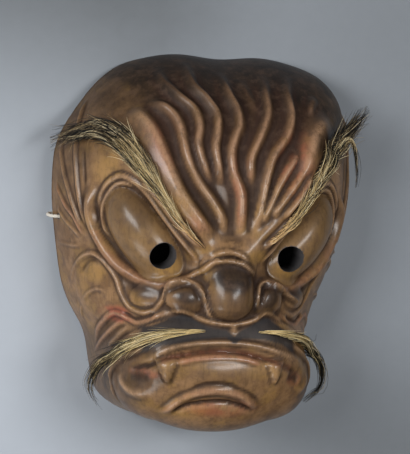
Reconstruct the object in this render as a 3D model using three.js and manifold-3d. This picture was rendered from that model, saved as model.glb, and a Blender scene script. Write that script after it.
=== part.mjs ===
// A carved and painted wooden theatre mask: a scowling demon with hair brows and moustache.
// It lies on its back, face up. Millimetres: x to the viewer's right, y to the forehead, z out.
import * as THREE from "three";
import { mergeVertices } from "three/addons/utils/BufferGeometryUtils.js";
import Module from "manifold-3d";

// Driving dimensions
const CROWN = 75; // height of the plain domed face over the rim
const CHIN_LIFT = 8; // how much higher the dome is at the chin
const WALL = 7.5; // thickness at the rim
const ROOF = 9.5; // thickness over the hollow
const RIM_ARCH = 4.5; // how far the rim rises from the table at the temples
const EYE_HOLE = { x: 36.6, shift: -0.7, y: -1.5, radius: 7.4, sides: 24 };
const CORD_HOLE = { x: 83, y: 10, z: 14.5, radius: 1.7, sides: 14 };
const CORD_RADIUS = 1;
const CORD_SIDES = 7;
const CORD_STEPS = 20;
const KNOT_RADIUS = 2.3;
const KNOT_LIFT = 1.2; // the knot's middle over the last point of the cord's path
const KNOT_SIDES = { around: 9, rings: 7 };
const CREST_STEP = 3.6; // spacing of the mesh's points along ridges, cuts and edges
const CREST_ROOM = 1.65; // least distance between them
const OPEN_STEP = 7.8; // spacing over the open stretches of the face
const OPEN_ROOM = 0.62; // share of that spacing kept clear round the other points
const HOLLOW_STEP = 14; // spacing inside
const RIM_POINTS = 128;
const HOLLOW_RIM_POINTS = 64;

// Half of the outline of the rim, from the forehead to the chin
const rimHalf = [
  [0, 101.5], [24, 103.3], [43, 100.4], [59, 94.6], [70.8, 84], [79, 69], [84.2, 54], [86, 38],
  [84.8, 16], [79.5, -11], [69, -38], [60.5, -56], [56, -76], [52, -91], [42, -98.5], [22, -102],
  [0, -103],
];

// Round forms over the dome: centre, half sizes a and b, height, and the depth of their foot.
// A form with "both" is repeated on the other half; "shift" moves it off the mirror line.
const forms = [
  { name: "muzzle", x: -2, y: -64, a: 51, b: 31, top: 7.5, power: 2.4, fall: 0.6, blend: 5 },
  {
    name: "jowl", x: 40, shift: 1, y: -80, a: 21, b: 17, top: 7.5, foot: 2, fall: 0.8, blend: 4,
    both: true,
  },
  { name: "chin", x: -1, y: -88, a: 32, b: 16, top: 11, foot: 4, power: 2.2, blend: 3 },
  {
    name: "cheek", x: 62, shift: -2, y: -22, turn: 10, a: 18, b: 21, top: 2, foot: -0.8, blend: 2.5,
    both: true,
  },
];
const browRidge = {
  at: [[9, 2], [22, 15], [34, 29], [45, 44], [54, 57], [62, 68]],
  high: 5.5,
  wide: 9.5,
  end: 1.15, // share of the length where it has died out
  dying: 0.5, // share of the length over which it does
};
const eye = {
  x: 45.6, shift: -0.6, y: 8.2, turn: 45, a: 30, b: 12.6, bOuter: 17.2, power: 2.3,
  top: 9.2, foot: -4.2, slope: 22, socket: 1.5, socketWide: 0.07, socketClears: 0.8, blend: 0.6,
};
const pouch = {
  x: 41, shift: -0.5, y: -24.6, turn: -5, a: 10, b: 6, top: 3.4, foot: -0.5, blend: 4, both: true,
};
const noseForms = [
  { name: "bridge", x: -1, y: -5, a: 15, b: 13, top: 7.5, foot: 2, power: 2.2, blend: 3 },
  {
    name: "nose root", x: -0.5, y: -26, a: 31, b: 12, top: 6.5, foot: 1, power: 2.6, fall: 0.8,
    blend: 3,
  },
  {
    name: "wing", x: 22, shift: -1.6, y: -24.4, turn: 14, a: 9.8, b: 9, top: 9.6, foot: 3, power: 2.1,
    blend: 2, both: true,
  },
  {
    name: "nose top", x: -1, y: -12, a: 14, b: 11.5, top: 9.5, foot: 2, power: 2.4, fall: 1.2,
    blend: 2,
  },
  {
    name: "bulb", x: 0.4, y: -21, a: 13.2, b: 15.6, top: 16.2, foot: 4, power: 2.3, fall: 1.2,
    tip: 0.2, blend: 3.5,
  },
  { name: "lower lip", x: -4.5, y: -63.5, a: 35, b: 11.5, top: 11.5, foot: 3, power: 2.2, blend: 2.5 },
];

// Forehead ridges: where they run, half width, height, and the share of width lost on the way
const foreheadRidges = [
  {
    at: [[-53, 76], [-46, 69], [-41, 60.5], [-35.5, 47], [-29, 33.5], [-20, 21], [-11, 10]],
    wide: 3.6, far: 7.5, high: 5.8, narrow: 0.3,
  },
  {
    at: [[-45, 80], [-35, 76], [-29.5, 68.5], [-26, 52], [-20, 39.5], [-12, 29], [-6, 19], [-4.5, 11]],
    wide: 3.2, high: 5.4, narrow: 0.2,
  },
  {
    at: [
      [-34, 98], [-34.5, 90], [-28, 83], [-20.5, 76.5], [-18.5, 68], [-20, 59], [-16.5, 47],
      [-12, 37.5],
    ],
    wide: 3.1, high: 5.2, narrow: 0.2, rise: 0.35,
  },
  {
    at: [[-18, 101], [-19.5, 90], [-13, 82], [-8.5, 74.5], [-9, 66], [-10.5, 58], [-9, 48], [-6, 37.5]],
    wide: 3.1, high: 5.2, narrow: 0.2, rise: 0.35,
  },
  {
    at: [
      [0, 97], [0, 86], [3.6, 77.5], [4.2, 69.7], [0.6, 62.5], [-1.6, 55], [-0.6, 45.3], [4, 33.5],
      [4.6, 18], [3.6, 9],
    ],
    wide: 3.1, high: 5.2, rise: 0.25,
  },
  {
    at: [[25, 97], [22.3, 86], [21.3, 76], [16, 65], [10.2, 54], [9.4, 46], [10.4, 37.5]],
    wide: 2.9, high: 4.6, narrow: 0.15, rise: 0.35,
  },
  {
    at: [
      [41, 97], [35, 87], [34.8, 75], [31, 65], [22.6, 54.5], [18.8, 43.5], [16.6, 32], [14, 21],
      [10, 12],
    ],
    wide: 3, high: 5, narrow: 0.2, rise: 0.3,
  },
  { at: [[54, 86], [49, 80.5], [46.5, 74]], wide: 2.6, high: 2.6, ends: 0.4 },
  {
    at: [[61, 76], [49, 67], [44, 57.5], [39.5, 47.5], [35, 40]],
    wide: 6.5, high: 4.6, narrow: 0.3, ends: 0.3,
  },
  { at: [[38, 57], [32, 48.5], [25.8, 39], [20, 27], [15, 17.5]], wide: 2.5, high: 3.8, narrow: 0.2 },
  { at: [[43, 52], [36.5, 42.5], [28, 31.5], [20.5, 21.5]], wide: 2.3, high: 3.2, narrow: 0.2 },
  { at: [[43.5, 45], [37, 33], [27.5, 21.5]], wide: 2, high: 2.4 },
];

// Ridges (high above 0) and cuts (below 0) that both halves have, drawn on the left one
const pairedLines = [
  {
    name: "lower lid",
    at: [
      [-70, 33.5], [-72.3, 24], [-71.2, 14], [-67, 4.5], [-58, -7.5], [-51, -13.3], [-43, -17.5],
      [-33, -18.3], [-25, -15.3], [-18, -10.5],
    ],
    wide: 3, high: 3.4, edge: 2.6,
  },
  {
    name: "inner ring",
    at: [[-52, 34.5], [-57.5, 36], [-62, 34], [-65.5, 28], [-67, 20], [-66, 11.5], [-62.5, 4]],
    wide: 1.2, high: 2,
  },
  {
    name: "outer ring",
    at: [
      [-68.3, 16], [-68.3, 26], [-65.5, 34.5], [-59.5, 39.5], [-53, 37.5], [-46, 31.5], [-39.5, 22.5],
      [-31, 12], [-22.5, 2.8], [-18.5, -3], [-20, -8],
    ],
    wide: 1.3, high: 2.2,
  },
  { name: "lid fold", at: [[-49, 38], [-40.5, 29.5], [-29.5, 16], [-16.5, 4]], wide: 1.5, high: 1.7 },
  {
    name: "cheek loop",
    at: [
      [-72.8, -31], [-74.2, -20.6], [-72.9, -12.3], [-69.8, -6.8], [-66.6, -5.5], [-62.6, -8],
      [-58.1, -13.3], [-55.1, -18.5], [-53.3, -24.2], [-51, -29.2], [-47.8, -32.9], [-42, -34.6],
      [-37, -32.2], [-34.3, -28.5],
    ],
    wide: 1.2, high: 2.3, ends: 0.1, rise: 0.45, mirror: 0.6,
  },
  {
    name: "cheek hollow",
    at: [[-71, -20], [-69.3, -12.5], [-66.5, -9.6], [-62.8, -12]],
    wide: 2.2, high: -1.1, ends: 0.3, mirror: 0.3,
  },
  {
    name: "fold one",
    at: [
      [-57.1, -61.4], [-59.3, -50], [-58.4, -41.8], [-56.3, -37.6], [-54, -36.6], [-49.3, -38.3],
      [-45.3, -40], [-41.1, -38.4], [-36.5, -35.8], [-31, -32.6],
    ],
    wide: 1.2, high: 1.7, ends: 0.1, rise: 0.35, mirror: 0.5,
  },
  {
    name: "fold two",
    at: [[-56.3, -67.3], [-56.7, -57.7], [-55.9, -49.7], [-54.1, -44.6], [-52, -41.5], [-49, -40.3]],
    wide: 1, high: 1.2, rise: 0.4, mirror: 0.3,
  },
  {
    name: "temple one",
    at: [
      [-69.3, 77.4], [-75.3, 65.8], [-78.4, 54], [-78.7, 40], [-77.6, 29.5], [-75.4, 18.5],
      [-72.1, 7.8],
    ],
    wide: 1.3, high: 1.7,
  },
  {
    name: "temple two",
    at: [[-82.9, 53], [-83.8, 46], [-82.8, 35.5], [-80.8, 26.7], [-78.2, 18], [-72.8, 6]],
    wide: 1.4, high: 1.7,
  },
  {
    name: "temple three",
    at: [[-85, 29], [-83.2, 22.6], [-80.8, 17], [-77.6, 12.5], [-72.9, 3.5]],
    wide: 1.2, high: 1.5,
  },
  {
    name: "fold three",
    at: [[-53.6, -58], [-53.4, -55], [-52.3, -51.1], [-50.5, -46.6], [-47.5, -42.9]],
    wide: 1.1, high: 0.9, mirror: 0.3,
  },
];

// Ridges and cuts on the middle or on one side
const singleLines = [
  {
    name: "brow arch",
    at: [[-12.5, -1.5], [-9.5, 1.6], [-5, 2.6], [0, 2.6], [5, 0.9], [9, -4]],
    wide: 1.1, high: 1.4,
  },
  {
    name: "nose arch",
    at: [
      [-20.3, -12.2], [-13.8, -7.8], [-9.6, -4.2], [-4.5, -2.2], [0, -2], [4, -3], [8.4, -6],
      [14.1, -11.4],
    ],
    wide: 1.3, high: 2.1,
  },
  {
    name: "wing rim left",
    at: [
      [-38.5, -33.5], [-34.4, -27.1], [-32.5, -21.8], [-29.3, -18], [-25.5, -16.2], [-21.1, -15.4],
      [-17.4, -17.4], [-15.1, -21.6], [-13.2, -26.6], [-10.4, -33.3], [-6.8, -36.2],
    ],
    wide: 1.3, high: 2.6, ends: 0.1,
  },
  {
    name: "wing rim right",
    at: [
      [15.2, -28], [15.4, -20.5], [16.5, -16.2], [19.8, -14.5], [23, -15.7], [26.2, -17.6],
      [31.8, -21.2], [38.4, -25.2], [42.4, -28.6],
    ],
    wide: 1.3, high: 2.4, ends: 0.1,
  },
  {
    name: "nose base",
    at: [
      [-34.4, -36], [-31.2, -33.3], [-25.6, -31.2], [-20.7, -32.7], [-15.8, -35.5], [-12.1, -36.9],
      [-6.8, -38], [-0.8, -38.5], [6.8, -38], [13.1, -36.3], [17.5, -33.7], [20.5, -31.6], [24, -32.6],
      [29, -36], [33, -38.5],
    ],
    wide: 1.2, high: 1.8,
  },
  {
    name: "ring left",
    at: [[-33, -49.8], [-42, -54], [-48, -60.5], [-50, -69], [-49.5, -80], [-44, -91]],
    wide: 1.3, high: 2.2,
  },
  {
    name: "ring right",
    at: [[29.5, -48], [38.5, -53.5], [46, -61.5], [45.5, -74]],
    wide: 1.3, high: 1.8,
  },
  {
    name: "lip edge",
    at: [
      [-40, -61], [-37, -57.5], [-32.1, -53.2], [-25.5, -50.3], [-13.5, -49], [0.9, -48.8],
      [14.4, -49.9], [24.9, -52.2], [35.3, -57.4], [41.9, -63.4],
    ],
    wide: 1.2, high: 1.5,
  },
  {
    name: "mouth",
    at: [
      [-45.5, -64.5], [-41, -63.3], [-36.5, -60.6], [-32, -57.4], [-27.5, -55.6], [-18.4, -54],
      [-4.8, -53.1], [7.6, -53.8], [19.6, -56.5], [31.9, -60.8], [41, -65.2],
    ],
    wide: 1.4, high: -3.2,
  },
  {
    name: "corner left",
    at: [[-44, -67], [-40.5, -67.8], [-36, -66.8]],
    wide: 4.4, high: -1.7, ends: 0.3,
  },
  { name: "corner right", at: [[33, -63.5], [36.5, -66], [40, -68]], wide: 4.2, high: -1.9, ends: 0.3 },
  {
    name: "chin roll",
    at: [
      [-31, -83], [-28.4, -80.2], [-22.6, -74.6], [-14.1, -71.3], [-4, -70.4], [7, -72.2], [14, -76],
      [19, -80],
    ],
    wide: 2.2, high: 2.3,
  },
  {
    name: "chin crease",
    at: [[-26.6, -81.7], [-18.8, -78], [-9, -76.4], [0.8, -76.2], [11.2, -78.4], [18.5, -81]],
    wide: 1.4, high: -2.4,
  },
];

const fangs = [
  { x: -31.8, y: -58.3, turn: -82, long: 11.5, half: 6.4, high: 3.4 },
  { x: 26, y: -58.8, turn: -91, long: 11, half: 5.4, high: 3.4 },
];

// Tufts of hair: rows of [x, y, height over the carving, half width, half thickness], then free
// ends as rows of [x, y, z, half width, half thickness]
const tufts = {
  eyebrow_left: {
    lying: [
      [-13.5, 3.5, 1.6, 0.7, 0.5], [-21.5, 11, 1.8, 1.1, 0.7], [-29.5, 19.5, 2, 1.4, 0.8],
      [-35.5, 28.5, 2.2, 1.8, 0.9], [-40.5, 36, 2.5, 2.9, 1.1], [-46, 44.5, 3, 4.6, 1.3],
      [-52.5, 53, 3.4, 6, 1.5], [-59.5, 59, 3.4, 6.1, 1.5], [-68, 61.5, 3.4, 5.3, 1.4],
    ],
    free: [[-81, 58.5, 27, 3.6, 1.2], [-88, 55.5, 23, 1.4, 0.7]],
  },
  eyebrow_right: {
    lying: [
      [18, 6.5, 1.6, 0.9, 0.6], [27, 14.5, 1.9, 1.5, 0.8], [35, 24, 2.1, 1.7, 1],
      [40.5, 33, 2.4, 2.1, 1.1], [46, 42, 2.8, 3, 1.3], [51.5, 50, 3, 4.2, 1.4],
    ],
    free: [
      [60.8, 58.2, 60, 4.8, 1.4], [65.7, 64.3, 58, 4.8, 1.4], [70.9, 69.3, 55.5, 4, 1.3],
      [76.1, 74.1, 53, 2.8, 1.1], [81.4, 78.2, 50.5, 1.2, 0.7],
    ],
  },
  moustache_left: {
    lying: [
      [-12.5, -42.5, 1.5, 0.6, 0.4], [-24, -43.3, 1.8, 1.4, 0.7], [-33.5, -45.6, 2.1, 2.2, 0.9],
      [-40.5, -49, 2.4, 2.7, 1], [-46.5, -54, 2.7, 3, 1.1],
    ],
    free: [
      [-57.5, -61.5, 57, 2.5, 1.2], [-62.3, -67.5, 51, 2.3, 1.1], [-64.9, -75.5, 46, 2, 1],
      [-64.6, -84, 41, 1.5, 0.9], [-60.5, -91.5, 36.5, 0.9, 0.6],
    ],
  },
  moustache_right: {
    lying: [
      [15.5, -42.5, 1.5, 0.6, 0.4], [25, -43.3, 1.8, 1.3, 0.7], [35, -46.5, 2.2, 1.9, 0.9],
      [43, -50.5, 2.6, 2.2, 1.1],
    ],
    free: [
      [55.1, -55.2, 61.5, 2.4, 1.2], [61.9, -62.4, 57, 2.1, 1.1], [65.9, -70.3, 52.5, 1.7, 1],
      [66.5, -78.7, 49, 1.3, 0.9], [61, -85.6, 47, 0.8, 0.6],
    ],
  },
};
const RIM_SAMPLES = 640; // points of the rim's look-up table
const MEAN_RADIUS = 90; // of the rim, to lay the mesh out flat
const RUN_SAMPLES = 400; // of the runs from the crown to the rim
const SETTLE_STEPS = 6; // steps that bring a point back onto the dome
const SETTLE_RATE = 30; // how far each goes
const BOLD_WIDTH = 2.5; // ridges wider than this have two mesh lines on each side
const BOLD_FEET = [0.85, 1.8];
const FINE_FEET = [1.7];
const EYE_EDGES = [1.02, 0.9, 0.7];
const FORM_EDGES = [1.02, 0.85];
const FANG_STEP = 2.4;
const FANG_ROOT = 1.5; // how far a fang reaches back under the lip
const FANG_TAPER = 0.75;
const FANG_ROUND = 2.4;
const FANG_SIDE = 0.92; // share of its half width where its flanks begin
const FANG_GAP = 0.9; // between a fang's side and the mesh line beside it
const LINE_ENDS = 0.14; // share of a line's length over which its ends rise and die out
const PLAIN_EDGE = 1.5; // the fine lines start this far over the rim
const EDGE_FADE = 8; // and reach full height over this much more
const BED_GAP = 0.35; // clear space between the hair and the carving
const TUFT_SIDES = 8;
const TUFT_STEPS = 15;

// Path of the short tie cord: through its hole, round the rim and back to its knot
const cordPath = [
  [-71.5, 10, 14.4], [-76, 10, 14.4], [-83.5, 10, 14.6], [-87.2, 10, 13], [-88.4, 10, 8.5],
  [-87, 10, 3.9], [-82.5, 10, 1.8], [-76.5, 10, 2.4], [-73, 10, 6], [-71.8, 10, 12],
];

const paint = (color, roughness) => new THREE.MeshStandardMaterial({ color, roughness, metalness: 0 });
const lacqueredWood = paint(0x6b4428, 0.45);
const browHair = paint(0x8a6f38, 0.6);
const lipHair = paint(0x7a6438, 0.6);
const whiteCord = paint(0xe6dfcf, 0.85);

const wasm = await Module();
wasm.setup();

function smoothStep(t) {
  const s = THREE.MathUtils.clamp(t, 0, 1);
  return s * s * (3 - 2 * s);
}

// The larger of two heights, with the edge between them rounded over about k
function softMax(a, b, k) {
  return 0.5 * (a + b + Math.sqrt((a - b) ** 2 + k * k));
}

function catmullRom(points, closed = false) {
  return new THREE.CatmullRomCurve3(points, closed, "catmullrom", 0.5);
}

// Value of a table at a place between its entries
function lookUp(places, values, place) {
  let low = 0;
  let high = places.length - 1;
  if (place <= places[low]) return values[low];
  if (place >= places[high]) return values[high];
  while (high - low > 1) {
    const middle = (low + high) >> 1;
    if (places[middle] > place) high = middle;
    else low = middle;
  }
  const share = (place - places[low]) / Math.max(1e-9, places[high] - places[low]);
  return THREE.MathUtils.lerp(values[low], values[high], share);
}

// The rim's distance from the middle at every bearing
const rimLoop = [...rimHalf, ...rimHalf.slice(1, -1).reverse().map(([x, y]) => [-x, y])];
const rimPoints = catmullRom(rimLoop.map(([x, y]) => new THREE.Vector3(x, y, 0)), true)
  .getPoints(RIM_SAMPLES)
  .slice(0, -1)
  .sort((p, q) => Math.atan2(p.y, p.x) - Math.atan2(q.y, q.x));
const rimAngles = rimPoints.map((p) => Math.atan2(p.y, p.x));
const rimReaches = rimPoints.map((p) => Math.hypot(p.x, p.y));
const rimRadius = (angle) => lookUp(rimAngles, rimReaches, angle);

// The head leans a little to the right at its top
const cheekBend = (y) => -3.2 * Math.exp(-(((y + 33) / 18) ** 2)); // the cheeks sit to the left
const lean = (y) => 7 * smoothStep((y - 45) / 50) + 0.8 * smoothStep((-45 - y) / 25) + cheekBend(y);

// How square the dome's section is: full at the chin, rounder over the cheeks
function profilePower(angle) {
  const s = Math.sin(angle);
  const forehead = 0.7 * Math.max(0, s) ** 2;
  const chin = 4.6 * Math.max(0, -s) ** 3;
  const cheeks = 0.35 * Math.exp(-(((s + 0.25) / 0.3) ** 2));
  return 2.3 + forehead + chin - cheeks;
}

const crownAt = (y) => CROWN + CHIN_LIFT * smoothStep((-28 - y) / 45);

function rimShare(x, y) {
  const dx = x - lean(y);
  return Math.hypot(dx, y) / rimRadius(Math.atan2(y, dx));
}

function domePoint(x, y) {
  const share = rimShare(x, y) ** profilePower(Math.atan2(y, x));
  return new THREE.Vector3(x, y, crownAt(y) * Math.sqrt(Math.max(0, 1 - share)));
}

function domeField(x, y, z) {
  return (z / crownAt(y)) ** 2 + rimShare(x, y) ** profilePower(Math.atan2(y, x));
}

function domeNormal({ x, y, z }) {
  const step = 0.4;
  const gx = (domeField(x + step, y, z) - domeField(x - step, y, z)) / (2 * step);
  const gy = (domeField(x, y + step, z) - domeField(x, y - step, z)) / (2 * step);
  return new THREE.Vector3(gx, gy, (2 * z) / crownAt(y) ** 2).normalize();
}

// The plane that touches the dome at x, y: to its coordinates, and from them back to the dome
function touchPlane(x, y, turn) {
  const origin = domePoint(x, y);
  const normal = domeNormal(origin);
  const angle = THREE.MathUtils.degToRad(turn);
  const across = new THREE.Vector3(Math.cos(angle), Math.sin(angle), 0);
  across.addScaledVector(normal, -across.dot(normal)).normalize();
  const up = new THREE.Vector3().crossVectors(normal, across);
  const toPlane = (p) => {
    const d = p.clone().sub(origin);
    return [d.dot(across), d.dot(up)];
  };
  const toDome = (u, v) => {
    const p = origin.clone().addScaledVector(across, u).addScaledVector(up, v);
    for (let i = 0; i < SETTLE_STEPS; i += 1) {
      p.addScaledVector(normal, (1 - domeField(p.x, p.y, p.z)) * SETTLE_RATE);
    }
    return p;
  };
  return { toPlane, toDome };
}

function oval(u, v, a, b, power) {
  return (Math.abs(u / a) ** power + Math.abs(v / b) ** power) ** (1 / power);
}

// Points on the dome along an oval
function ovalPoints(plane, { a, b, power = 2 }, share) {
  const count = Math.ceil((Math.PI * (a + b) * share) / CREST_STEP);
  return Array.from({ length: count }, (_, i) => {
    const angle = (2 * Math.PI * i) / count;
    const [c, s] = [Math.cos(angle), Math.sin(angle)];
    const u = a * share * Math.sign(c) * Math.abs(c) ** (2 / power);
    const v = b * share * Math.sign(s) * Math.abs(s) ** (2 / power);
    return plane.toDome(u, v);
  });
}

// A rounded form as a function that gives its height over the dome at a point
function bulge(form, side) {
  const { a, b, top, blend, power = 2, foot = 0, fall = 1, tip = 0, turn = 0, shift = 0 } = form;
  const plane = touchPlane(side * form.x + shift, form.y, side * turn);
  const height = (p) => {
    const [u, v] = plane.toPlane(p);
    const q = oval(u, v, a, b, power);
    if (q >= 1) return foot - (q - 1) * fall * Math.min(a, b);
    return foot + (top - foot) * Math.sqrt(1 - q * q) * (1 - (tip * v) / b);
  };
  return { height, blend, plane, form };
}

const bothSides = (form) => (form.both ? [bulge(form, -1), bulge(form, 1)] : [bulge(form, 1)]);
const headBulges = forms.flatMap(bothSides);
const pouchBulges = bothSides(pouch);
const noseBulges = noseForms.flatMap(bothSides);
const eyePlanes = [-1, 1].map((side) => ({
  side,
  plane: touchPlane(side * eye.x + eye.shift, eye.y, 90 - side * eye.turn),
}));
const browLines = [-1, 1].map((side) =>
  catmullRom(browRidge.at.map(([x, y]) => new THREE.Vector3(side * x, y, 0)))
    .getPoints(40)
    .map((p) => domePoint(p.x, p.y)),
);

// Distance from a point to a line in space, the share of its length there, and the side
function lineField(p, normal, line) {
  const found = { distance: Infinity, share: 0, side: 0 };
  const run = new THREE.Vector3();
  const d = new THREE.Vector3();
  for (let i = 0; i < line.length - 1; i += 1) {
    run.subVectors(line[i + 1], line[i]);
    d.subVectors(p, line[i]);
    const t = THREE.MathUtils.clamp(d.dot(run) / Math.max(1e-9, run.lengthSq()), 0, 1);
    d.addScaledVector(run, -t);
    if (d.length() < found.distance) {
      found.distance = d.length();
      found.share = (i + t) / (line.length - 1);
      found.side = run.cross(d).dot(normal);
    }
  }
  return found;
}

// Height of all the round forms over the dome
function relief(p, normal) {
  let h = 0;
  for (const line of browLines) {
    const { distance, share } = lineField(p, normal, line);
    const fade = smoothStep((browRidge.end - share) / browRidge.dying);
    h += browRidge.high * Math.exp(-((distance / browRidge.wide) ** 2)) * fade;
  }
  for (const form of headBulges) h = softMax(h, form.height(p), form.blend);
  eyePlanes.forEach(({ side, plane }, i) => {
    const [u, v] = plane.toPlane(p);
    const q = oval(u, v, eye.a, v * side > 0 ? eye.b : eye.bOuter, eye.power);
    const socket = Math.exp(-(Math.max(0, q - 0.95) ** 2) / eye.socketWide);
    const dome = eye.foot + (eye.top - eye.foot) * Math.sqrt(Math.max(0, 1 - q * q));
    const ball = q < 1 ? dome : eye.foot - (q - 1) * eye.slope;
    h = softMax(h * (1 - eye.socketClears * socket) - eye.socket * socket, ball, eye.blend);
    h = softMax(h, pouchBulges[i].height(p), pouch.blend);
  });
  for (const form of noseBulges) h = softMax(h, form.height(p), form.blend);
  return h;
}

// The carving's surface without its fine lines, over a place of the plan
function surfaceAt([x, y]) {
  const p = domePoint(x, y);
  const normal = domeNormal(p);
  return p.addScaledVector(normal, relief(p, normal));
}

// Every ridge and cut as a line in space
function carvedLines() {
  const mirrored = pairedLines.map((line) => ({
    ...line,
    at: line.at.map(([x, y]) => [2 * lean(y) - cheekBend(y) - x, y]),
    high: line.high * (line.mirror ?? 1),
    flip: -1,
  }));
  const ridges = foreheadRidges.map((line) => ({ ...line, forehead: true }));
  return [...ridges, ...pairedLines, ...mirrored, ...singleLines].map((line) => {
    const curve = catmullRom(line.at.map(surfaceAt));
    const path = curve.getPoints((line.at.length - 1) * 5);
    const reach = 3 * Math.max(line.wide, line.far ?? line.wide);
    const box = new THREE.Box3().setFromPoints(path).expandByScalar(reach);
    return { ...line, curve, path, box };
  });
}

// Half a fang's width on its way to the tip
function fangHalf(fang, u) {
  return fang.half * THREE.MathUtils.clamp(1 - (u + 1) / (fang.long + 1), 0, 1) ** FANG_TAPER;
}

// A fang's share of its full height at a point: long and pointed, round across
function fangShape(fang, plane, p) {
  const [u, v] = plane.toPlane(p);
  if (u < -FANG_ROOT || u > fang.long) return 0;
  const q = Math.abs(v) / Math.max(0.05, fangHalf(fang, u));
  return q < 1 ? Math.sqrt(1 - q ** FANG_ROUND) * smoothStep(u + FANG_ROOT) : 0;
}

// Height of the fine lines and the fangs over the round forms
function fineRelief(p, normal) {
  let forehead = 0;
  let rest = 0;
  for (const line of lines) {
    if (!line.box.containsPoint(p)) continue;
    const { distance, share, side } = lineField(p, normal, line.path);
    const near = side * (line.flip ?? 1) > 0 ? line.wide : (line.far ?? line.wide);
    const wide = near * (1 - (line.narrow ?? 0) * share);
    const ends = line.ends ?? LINE_ENDS;
    const taper = smoothStep(share / (line.rise ?? ends)) * smoothStep((1 - share) / ends);
    const h = line.high * Math.exp(-((distance / wide) ** (line.edge ?? 2))) * taper;
    if (line.forehead) forehead += h ** 4;
    else rest += h;
  }
  let h = rest + forehead ** 0.25;
  fangs.forEach((fang, i) => {
    const shape = fangShape(fang, fangPlanes[i], p);
    h = h * (1 - Math.min(1, 3 * shape)) + fang.high * shape;
  });
  return h * smoothStep((p.z - PLAIN_EDGE) / EDGE_FADE);
}

// Runs over the dome from its crown to the rim, and the shares of the radius they reach
const flatShares = Array.from({ length: RUN_SAMPLES + 1 }, (_, i) => 1 - (1 - i / RUN_SAMPLES) ** 3);
const flatRuns = [0];
for (let i = 1; i < flatShares.length; i += 1) {
  const [a, b] = [flatShares[i - 1], flatShares[i]];
  const rise = CROWN * (Math.sqrt(1 - a ** 3) - Math.sqrt(1 - b ** 3));
  flatRuns.push(flatRuns[i - 1] + Math.hypot((b - a) * MEAN_RADIUS, rise));
}
const fullRun = flatRuns.at(-1);

// The mesh is laid out flat: bearings stay, and distances are runs over the dome
function toFlat({ x, y, z }) {
  const dx = x - lean(y);
  const angle = Math.atan2(y, dx);
  const low = (1 - (z / crownAt(y)) ** 2) ** (1 / profilePower(Math.atan2(y, x)));
  const share = z > CROWN / 2 ? Math.hypot(dx, y) / rimRadius(angle) : low;
  const run = lookUp(flatShares, flatRuns, share);
  return [run * Math.cos(angle), run * Math.sin(angle)];
}

const rimHeight = (angle) => RIM_ARCH * smoothStep((Math.abs(Math.cos(angle)) - 0.45) / 0.4);

// A flat point on the dome, drawn in by inset at the rim and by drop at the crown
function fromFlat([a, b], inset, drop) {
  const angle = Math.atan2(b, a);
  const share = lookUp(flatRuns, flatShares, Math.hypot(a, b));
  const r = share * (rimRadius(angle) - inset);
  const y = r * Math.sin(angle);
  const x = r * Math.cos(angle) + lean(y);
  const z = (crownAt(y) - drop) * Math.sqrt(Math.max(0, 1 - share ** profilePower(angle)));
  return new THREE.Vector3(x, y, Math.max(z, rimHeight(angle)));
}

// Flat points that the mesh has to have: crests and feet of the lines, edges of the forms
function marks(lines, fangPlanes) {
  const crests = [];
  const feet = [];
  const byHeight = [...lines].sort((p, q) => Math.abs(q.high) - Math.abs(p.high));
  for (const { curve, wide, far = wide } of byHeight) {
    const count = Math.max(2, Math.round(curve.getLength() / CREST_STEP));
    for (let i = 0; i <= count; i += 1) {
      const p = curve.getPointAt(i / count);
      const normal = domeNormal(p);
      const across = normal.clone().cross(curve.getTangentAt(i / count)).normalize();
      p.addScaledVector(normal, -relief(p, normal));
      crests.push(toFlat(p));
      for (const reach of [wide, -far]) {
        const steps = Math.abs(reach) > BOLD_WIDTH ? BOLD_FEET : FINE_FEET;
        for (const step of steps) feet.push(toFlat(p.clone().addScaledVector(across, reach * step)));
      }
    }
  }
  const teeth = [];
  fangs.forEach((fang, i) => {
    for (let u = -FANG_ROOT; u <= fang.long; u += FANG_STEP) {
      const half = fangHalf(fang, u);
      for (const v of [0, -FANG_SIDE * half, FANG_SIDE * half, -half - FANG_GAP, half + FANG_GAP]) {
        teeth.push(toFlat(fangPlanes[i].toDome(u, v)));
      }
    }
  });
  const edges = [];
  eyePlanes.forEach(({ plane, side }) => {
    for (const share of EYE_EDGES) {
      for (const half of [-1, 1]) {
        const b = half * side > 0 ? eye.b : eye.bOuter;
        const ring = ovalPoints(plane, { ...eye, b }, share);
        edges.push(...ring.filter((p) => half * plane.toPlane(p)[1] >= 0).map(toFlat));
      }
    }
  });
  for (const { plane, form } of [...noseBulges, ...pouchBulges]) {
    for (const share of FORM_EDGES) edges.push(...ovalPoints(plane, form, share).map(toFlat));
  }
  return [...teeth, ...crests, ...edges, ...feet];
}

// Points over the flat disc: its centre, its edge, the marks, then an even field between them
function scatter(marked, rimCount, step) {
  const points = [[0, 0]];
  for (let i = 0; i < rimCount; i += 1) {
    const angle = -Math.PI + (2 * Math.PI * i) / rimCount;
    points.push([fullRun * Math.cos(angle), fullRun * Math.sin(angle)]);
  }
  const place = (a, b, room) => {
    const taken = ([c, d]) => (a - c) ** 2 + (b - d) ** 2 < room * room;
    if (Math.hypot(a, b) < fullRun - CREST_ROOM && !points.some(taken)) points.push([a, b]);
  };
  for (const [a, b] of marked) place(a, b, CREST_ROOM);
  const rowStep = step * Math.sin(Math.PI / 3);
  const rows = Math.ceil(fullRun / rowStep);
  for (let row = -rows; row <= rows; row += 1) {
    for (let column = -rows; column <= rows; column += 1) {
      const offset = 0.03 * Math.sin(37 * row + 91 * column);
      place(step * (column + (row & 1) / 2) + offset, rowStep * row - offset, OPEN_ROOM * step);
    }
  }
  return points;
}

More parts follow.
